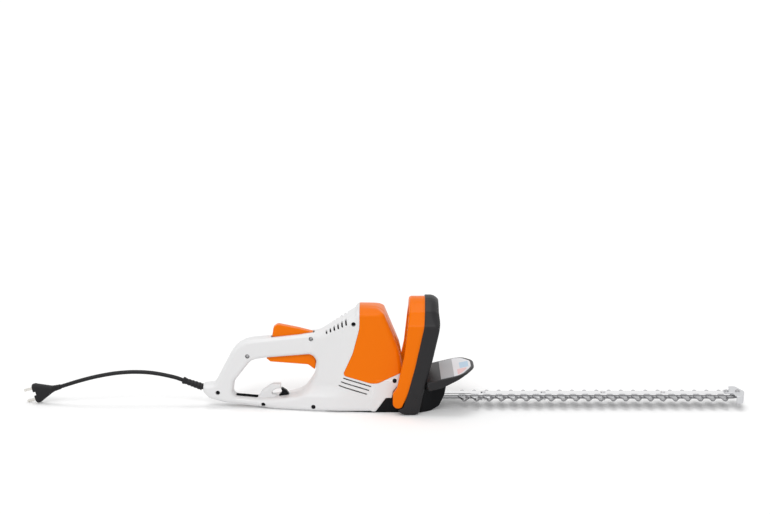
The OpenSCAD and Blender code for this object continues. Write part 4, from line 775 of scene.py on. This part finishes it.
def make_gearbox():
    step = 0.7 * COARSE
    axes = (span(-128, 75, step), span(-BODY_HALF_W, BODY_HALF_W, step), span(0, 48, step))
    x, y, z = axes
    side = flat_distance(rounded(GEAR_SIDE), x, z)[:, None, :]
    plan = flat_distance(mirrored_plan(GEAR_HALF), x, y)[:, :, None]
    soft = meet(side, plan, 3)
    crisp = meet(side, plan, 0.6)
    # The nose has soft edges, the sole and the tub crisp ones
    share = np.clip(x / 12, 0, 1)[:, None, None]
    field = crisp * (1 - share) + soft * share
    flank = flat_distance(np.array([(-46, 2.6), (-2, 2.6), (-2, 42), (-46, 42)], float), x, z)
    skirt = flat_distance(rounded(inset_corners(SKIRT_CORNERS, -0.4)), x, z)
    flank = np.maximum(flank, -skirt)[:, None, :]
    field = np.minimum(field, np.maximum(flank, np.abs(y)[None, :, None] - (BODY_HALF_W - 0.8)))
    gearbox = surface("gearbox", field, axes, step)
    cut(gearbox, round_bar(0, 0, 38.1, 3, PLATE_Z + 3, "z", 72),
        box((-54.4, -38.7, 3), (-8, 38.7, PLATE_Z + 3)),
        box((-10, -26, 3), (56, 26, BAR_TOP + 6)), box((30, -12, BLADE_Z - 1), (76, 12, BAR_Z)),
        box((55, -BAR_HALF_W - 0.1, BAR_Z - 0.1), (76, BAR_HALF_W + 0.1, BAR_TOP + 0.02)))
    cut(gearbox, round_bar(BAIL_X, BAIL_Z, BAIL_BORE_R, -60, 60, "y"))
    for px, py in SOLE_SCREWS:
        cut(gearbox, round_bar(px, py, SCREW_HEAD_R + 0.3, -1, 3.2, "z"), round_bar(px, py, 2.1, 1, 60, "z"))
    for sign in (-1, 1):
        lo, hi = sorted((sign * 26.7, sign * 37.3))
        cut(gearbox, box((27, lo, PLATE_Z), (41.3, hi, PLATE_Z + 20)))
        for place in HANDLE_SCREWS:
            lo, hi = sorted((sign * 35, sign * 60))
            cut(gearbox, round_bar(*place, SCREW_R + 0.1, lo, hi, "y"))
    dress(gearbox, BLACK, "housing", ["gearbox_housing"])


make_gearbox()

# ---------- hand guard with its blank label ----------
GUARD_TILT = math.radians(13)
GUARD_AT = np.array([34, 0, PLATE_Z + 13.6])
GUARD_LEN, GUARD_HALF_W, GUARD_T, GUARD_RIM, RIM_SLOPE_X = 88, LOOP_HALF_W + 3, 3, 14.5, 70
GUARD_HALF = [(0, 50, 4), (6, GUARD_HALF_W, 4), (68, GUARD_HALF_W, 28), (GUARD_LEN, 22, 60)]


def guard_placed(obj, name):
    """From the guard's own frame, with its top face at Z 0, to its tilted place on the gearbox."""
    along = np.array([math.cos(GUARD_TILT), 0, math.sin(GUARD_TILT)])
    up = np.array([-math.sin(GUARD_TILT), 0, math.cos(GUARD_TILT)])
    points = np.array([v.co for v in obj.data.vertices], float) / MM
    turned = points @ np.array([along, (0, 1, 0), up]) + GUARD_AT
    made = new_object(name, turned, [p.vertices for p in obj.data.polygons])
    remove(obj)
    return made


def label_patch(name, x0, x1, inset, z1, material, y0=-70, y1=70):
    corners = [(x, -y, r) for x, y, r in GUARD_HALF] + [(x, y, r) for x, y, r in reversed(GUARD_HALF)]
    patch = slab(rounded(inset_corners(corners, inset), 14), -0.1, z1, "z")
    boolean(patch, box((x0, y0, -1), (x1, y1, 1)), "INTERSECT")
    dress(guard_placed(patch, name), material, "housing")


def make_guard():
    step = 0.55 * COARSE
    axes = (span(0, GUARD_LEN, step), span(-GUARD_HALF_W, GUARD_HALF_W, step), span(-GUARD_RIM, 0, step))
    x, y, z = axes
    plan = flat_distance(mirrored_plan(GUARD_HALF), x, y)[:, :, None]
    up = z[None, None, :]
    # The rim is deepest behind and shallow in front of its slope
    slope = -GUARD_T - 1 - np.maximum(RIM_SLOPE_X - x, 0) * math.tan(RIM_SLOPE)
    lowest = np.maximum(-GUARD_RIM, slope)[:, None, None]
    solid = meet(plan, np.maximum(up, lowest - up), 1.3)
    field = np.maximum(solid, -np.maximum(plan + 2.6, up + GUARD_T))
    guard = guard_placed(surface("tool", field, axes, step), "hand_shield")
    neck = slab(rounded([(31, PLATE_Z + 6.02, 0), (73.5, PLATE_Z + 6.02, 0), (77, PLATE_Z + 20, 0),
                         (31, PLATE_Z + 10, 0)]), -29.5, 29.5, "y")
    below = guard_placed(box((-40, -80, -60), (120, 80, -1.5)), "tool")
    boolean(neck, below, "INTERSECT")
    boolean(guard, neck, "UNION")
    leg = [(20, 30), (LEG_FRONT[0][0] + LEG_GAP, 30)]
    leg += [(x + LEG_GAP, z) for x, z, _ in LEG_FRONT] + [(20, 95)]
    for sign in (-1, 1):
        cut(guard, slab(leg, *sorted((sign * (LOOP_HALF_W - LOOP_LEG - 1.5), sign * 90)), "y"))
    cut(guard, box((20, -BODY_HALF_W - 1, 30), (60, BODY_HALF_W + 1, PLATE_Z + 6.02)))
    for px, py in GUARD_SCREWS:
        cut(guard, round_bar(px, py, SCREW_HEAD_R + 0.4, PLATE_Z + 14.5, PLATE_Z + 60, "z"),
            round_bar(px, py, SCREW_R + 0.1, PLATE_Z + 4, PLATE_Z + 60, "z"))
    dress(guard, CHARCOAL, "housing", ["hand_guard"])
    label_patch("label_band", 30, 52.5, 5, 0.3, LABEL_GREY)
    label_patch("label_front", 52.5, 90, 5, 0.3, LABEL_PALE)
    label_patch("label_patch_blue", 64, 79, 8, 0.36, LABEL_BLUE, -16, 22)
    label_patch("label_patch_red", 59, 75, 9, 0.36, LABEL_RED, -54, -20)


make_guard()

# ---------- rocker and cord clip ----------
ROCKER_SHAPE = [
    (-35, 85.5, 1), (-28, 79.5, 4), (36, 74.5, 8), (47.5, 65.5, 1.5), (49.5, 78, 3), (47.5, 91, 6),
    (36, 97.5, 4), (12, 99, 1), (12, 102.5, 1), (30, 102.5, 1), (30, 105.5, 1), (12, 105.5, 1),
    (12, 123.5, 4), (36, 128, 2), (44.5, 130.2, 0), (20, 136.5, 20), (-15, 143.6, 6), (-22, 139, 4),
    (-24.5, 123, 1), (-14, 119, 4), (-12, 96, 6), (-26, 91, 4)]


def extruded(name, line, half_w, edge, step):
    """Solid across Y with softly rounded edges."""
    low, high = line.min(0), line.max(0)
    axes = (span(low[0], high[0], step), span(-half_w, half_w, step), span(low[1], high[1], step))
    side = flat_distance(line, axes[0], axes[2])[:, None, :]
    return surface(name, meet(side, (np.abs(axes[1]) - half_w)[None, :, None], edge), axes, step)


rocker = extruded("trigger_rocker", rounded([(ROCKER_X + x, z, r) for x, z, r in ROCKER_SHAPE]),
                  ROCKER_HALF_W, 1.6, 0.5 * COARSE)
cut(rocker, round_bar(ROCKER_X, ROCKER_PIVOT_Z, 3.05, -30, 30, "y"))
dress(rocker, ORANGE, "rocker", ["rocker_lever"])

CLIP_CORNERS = [(-211, 19.3, 0), (-200, 20.3, 0), (-193, 21.6, 0), (-197, 28, 6), (-205.6, 33, 1),
                (-206.6, 31.6, 0), (-204.5, 26, 5)]
clip = extruded("clip", rounded(CLIP_CORNERS), 5, 0.8, 0.35 * COARSE)
dress(clip, BLACK, "housing", ["cord_clip"])

# ---------- cutter ----------
TIP_HALF = 2.6


def tooth(x, lean):
    """Outer side of one tooth; lean +1 leans the rear edge, -1 the front edge."""
    rear = [(x - 9.5, SPINE_HALF_W), (x - TIP_HALF - 0.8, TOOTH_REACH - 1.6), (x - 0.6, TOOTH_REACH),
            (x + TIP_HALF - 0.6, TOOTH_REACH - 0.8), (x + TIP_HALF + 1.2, TOOTH_REACH - 5),
            (x + 3.4, SPINE_HALF_W)]
    return rear if lean > 0 else [(2 * x - px, py) for px, py in reversed(rear)]


def make_blade(name, lean, flat_z, ground_z, material, body, node):
    """A blade with its teeth ground towards ground_z."""
    top = [(ROD_LEN - 8, 7), (FIRST_TOOTH_X - 40, 7), (FIRST_TOOTH_X - 36, SPINE_HALF_W)]
    top += [p for k in range(TOOTH_ROWS) for p in tooth(FIRST_TOOTH_X + k * TOOTH_PITCH, lean)]
    top += [(LAST_TOOTH_X + 16, SPINE_HALF_W), (LAST_TOOTH_X + 24, 6)]
    line = np.array([(x, -y) for x, y in top] + list(reversed(top)), float)
    ground = np.array([(x, y) for x, y, _ in inset_corners([(x, y, 0) for x, y in line], 1.5)])
    teeth = (np.abs(line[:, 1]) > SPINE_HALF_W + 0.5)[:, None]
    bevelled = np.where(teeth, ground, line)
    early = flat_z + 0.3 * (ground_z - flat_z)
    levels = sorted([(flat_z, 0), (early, 0), (ground_z, 1)])
    blade = loft(name, [bevelled if b else line for _, b in levels], [h for h, _ in levels], "z")
    holes = [capsule((x - 5.6, 0), (x + 5.6, 0), 3.75, 16) for x in BLADE_SCREW_XS]
    cut(blade, joined([slab(h, 10, 30, "z") for h in holes] + [round_bar(ROD_LEN, 0, 3, 10, 30, "z")]))
    dress(blade, material, body, [node], sharp=20)


make_blade("upper_blade", 1, BLADE_Z2, BLADE_Z2 + BLADE_T, TOOTH, "upper_cutter", "blade_upper")
# The lower blade's darker steel is painted shade under the upper blade
make_blade("lower_blade", -1, BLADE_Z + BLADE_T, BLADE_Z, SHADED_STEEL, "lower_cutter", "blade_lower")


def make_bar():
    line = np.concatenate([[(60, BAR_HALF_W), (60, -BAR_HALF_W)],
                           [(TIP_X - 12 + BAR_HALF_W * math.cos(t), BAR_HALF_W * math.sin(t))
                            for t in np.linspace(-math.pi / 2, math.pi / 2, 25)]])
    small = np.array([(x, y) for x, y, _ in inset_corners([(x, y, 0) for x, y in line], 0.7)])
    bar = loft("guide_bar", [small, line, line, small], [BAR_Z, BAR_Z + 0.3, BAR_TOP - 0.7, BAR_TOP], "z")
    cut(bar, joined([round_bar(x, 0, 2.4, 15, 30, "z") for x in BLADE_SCREW_XS + TIP_SCREW_XS]))
    dress(bar, BLADE, "housing", ["support_bar"], sharp=25)


make_bar()

WING = TOOTH_REACH + 3.5
TIP_PLAN = rounded([
    (TIP_X - 35, -BAR_HALF_W - 1.5, 1), (TIP_X - 23, -BAR_HALF_W - 1.5, 1), (TIP_X - 21, -WING, 4),
    (TIP_X - 9.5, -WING, 5), (TIP_X, 0, 20), (TIP_X - 9.5, WING, 5), (TIP_X - 21, WING, 4),
    (TIP_X - 23, BAR_HALF_W + 1.5, 1), (TIP_X - 35, BAR_HALF_W + 1.5, 1)])


def make_tip():
    step = 0.4 * COARSE
    top_z, skirt_z, t = BAR_TOP + 1.4, BLADE_Z - 2.5, 1.4
    axes = (span(TIP_X - 35, TIP_X, step), span(-WING, WING, step), span(skirt_z, top_z, step))
    x, y, z = axes
    plan = flat_distance(TIP_PLAN, x, y)[:, :, None]
    up = z[None, None, :]
    solid = meet(plan, np.maximum(up - top_z, skirt_z - up), 0.7)
    pocket = np.maximum(plan + t, up - BAR_TOP)
    rear = np.maximum(x[:, None, None] - (TIP_X - 20), up - BAR_TOP)
    tip = surface("tip_cap", np.maximum(solid, -np.minimum(pocket, rear)), axes, step)
    cut(tip, joined([round_bar(px, 0, 2.1, 10, 30, "z") for px in TIP_SCREW_XS]))
    dress(tip, TIP, "housing", ["tip_guard"])


make_tip()


# ---------- screws ----------
def screw(head_r, head_h, shank_r, length, recess):
    """A screw along X, with its head's seat at 0, its head towards +X and its shank towards -X."""
    profile = [(-length, 0), (-length, shank_r * 0.6), (-length + 1, shank_r), (0, shank_r),
               (0, head_r - 0.2), (0.2, head_r), (head_h * 0.55, head_r), (head_h * 0.8, head_r * 0.93),
               (head_h * 0.95, head_r * 0.7), (head_h, head_r * 0.35), (head_h, 0)]
    made = lathe("tool", profile, 32)
    arm = head_r * 0.62
    if recess == "cross":
        first = box((head_h - 1.2, -arm, -0.55), (head_h + 2, arm, 0.55))
        cut(made, boolean(first, box((head_h - 1.2, -0.55, -arm), (head_h + 2, 0.55, arm)), "UNION"))
    else:
        turns = np.arange(6) * math.tau / 6
        hexagon = np.column_stack([arm * np.cos(turns), arm * np.sin(turns)])
        cut(made, slab(hexagon, head_h - 1.3, head_h + 2, "x"))
    return made


def screws(name, places, head_r, head_h, shank_r, material, node, recess="cross"):
    """One piece with a screw at each place (seat, way out of the head, shank length)."""
    made = [placed(screw(head_r, head_h, shank_r, length, recess), seat, way, "tool", (0.3, 0.2, 0.9))
            for seat, way, length in places]
    dress(joined(made, name), material, "housing", [node], sharp=30)


near, down, up_way = (0, -1, 0), (0, 0, -1), (0, 0, 1)
grip_places = [((x, -GRIP_HALF_W + 5, z), near, 2 * GRIP_HALF_W - 10) for x, z in GRIP_SCREWS]
body_places = [((x, -BODY_HALF_W + 9, z), near, 2 * BODY_HALF_W - 18) for x, z in BODY_SCREWS]
body_places += [((POST_SCREW[0], s * POST_HEAD_Y, POST_SCREW[1]), (0, s, 0), 7) for s in (-1, 1)]
screws("upper_case_screws", grip_places[:2], SCREW_HEAD_R, 2.4, SCREW_R, SCREW, "shell_screws")
# The case screws in the deep wells are painted dark as painted shade of their wells; the two upper ones show
# plain steel
screws("case_screws", grip_places[2:] + body_places, SCREW_HEAD_R, 2.4, SCREW_R, DARK_SCREW,
       "shell_screws")
handle_bolts = [((x, s * HANDLE_HEAD_Y, z), (0, s, 0), 11.5) for x, z in HANDLE_SCREWS for s in (-1, 1)]
screws("handle_bolts", handle_bolts, SCREW_HEAD_R, 2, SCREW_R, DARK_SCREW, "handle_screws")
screws("base_screws", [((x, y, 3.2), down, 43.8) for x, y in SOLE_SCREWS], SCREW_HEAD_R, 2.6, SCREW_R,
       DARK_SCREW, "sole_screws")
screws("shield_screws", [((x, y, PLATE_Z + 14.5), up_way, 18.5) for x, y in GUARD_SCREWS], SCREW_HEAD_R, 2.1,
       SCREW_R, DARK_SCREW, "guard_screws")
screws("tip_bolts", [((x, 0, BAR_TOP + 1.4), up_way, 4.5) for x in TIP_SCREW_XS], 4, 2.2, SCREW_R,
       SCREW, "tip_screws", "socket")


# ---------- floor and light ----------
SKY_LIGHT = 0.6
LAMPS = {"overhead": (0.75, 30, (-6, -6)), "front": (0.95, 22, (50, -10))}
FLOOR_GLOW = 0.12
FLOOR_SIDE, FLOOR_NEAR, FLOOR_FAR = 60000, 20000, 90000


def seen_directly(tree):
    """1 for rays from the camera and for mirror or clear rays, else 0."""
    path = tree.nodes.new("ShaderNodeLightPath")
    total = path.outputs["Is Camera Ray"]
    for name in ("Is Glossy Ray", "Is Transmission Ray"):
        both = tree.nodes.new("ShaderNodeMath")
        both.operation = "MAXIMUM"
        tree.links.new(total, both.inputs[0])
        tree.links.new(path.outputs[name], both.inputs[1])
        total = both.outputs[0]
    return total


def scaled(tree, value, factor, base):
    node = tree.nodes.new("ShaderNodeMath")
    node.operation = "MULTIPLY_ADD"
    tree.links.new(value, node.inputs[0])
    node.inputs[1].default_value, node.inputs[2].default_value = factor, base
    return node.outputs[0]


def make_stage():
    corners = [(-FLOOR_SIDE, -FLOOR_NEAR, 0), (FLOOR_SIDE, -FLOOR_NEAR, 0), (FLOOR_SIDE, FLOOR_FAR, 0),
               (-FLOOR_SIDE, FLOOR_FAR, 0)]
    floor = new_object("floor", corners, [(0, 1, 2, 3)])
    finish, tree, bsdf = shader("floor", (0.9, 0.9, 0.9), 0.9)
    glow = tree.nodes.new("ShaderNodeEmission")
    tree.links.new(scaled(tree, seen_directly(tree), FLOOR_GLOW, 0), glow.inputs["Strength"])
    both = tree.nodes.new("ShaderNodeAddShader")
    tree.links.new(bsdf.outputs[0], both.inputs[0])
    tree.links.new(glow.outputs[0], both.inputs[1])
    tree.links.new(both.outputs[0], tree.nodes["Material Output"].inputs["Surface"])
    floor.data.materials.append(finish)
    world = bpy.data.worlds.new("world")
    bpy.context.scene.world = world
    world.use_nodes = True
    tree = world.node_tree
    sky = tree.nodes["Background"]
    sky.inputs["Color"].default_value = (1, 1, 1, 1)
    tree.links.new(scaled(tree, seen_directly(tree), 1 - SKY_LIGHT, SKY_LIGHT), sky.inputs["Strength"])
    for name, (energy, spread, (forward, side)) in LAMPS.items():
        sun = bpy.data.objects.new(name, bpy.data.lights.new(name, "SUN"))
        bpy.context.scene.collection.objects.link(sun)
        sun.data.energy = energy
        sun.data.angle = math.radians(spread)
        sun.rotation_euler = (math.radians(forward), math.radians(side), 0)


make_stage()
bpy.context.scene.view_settings.view_transform = "Standard"
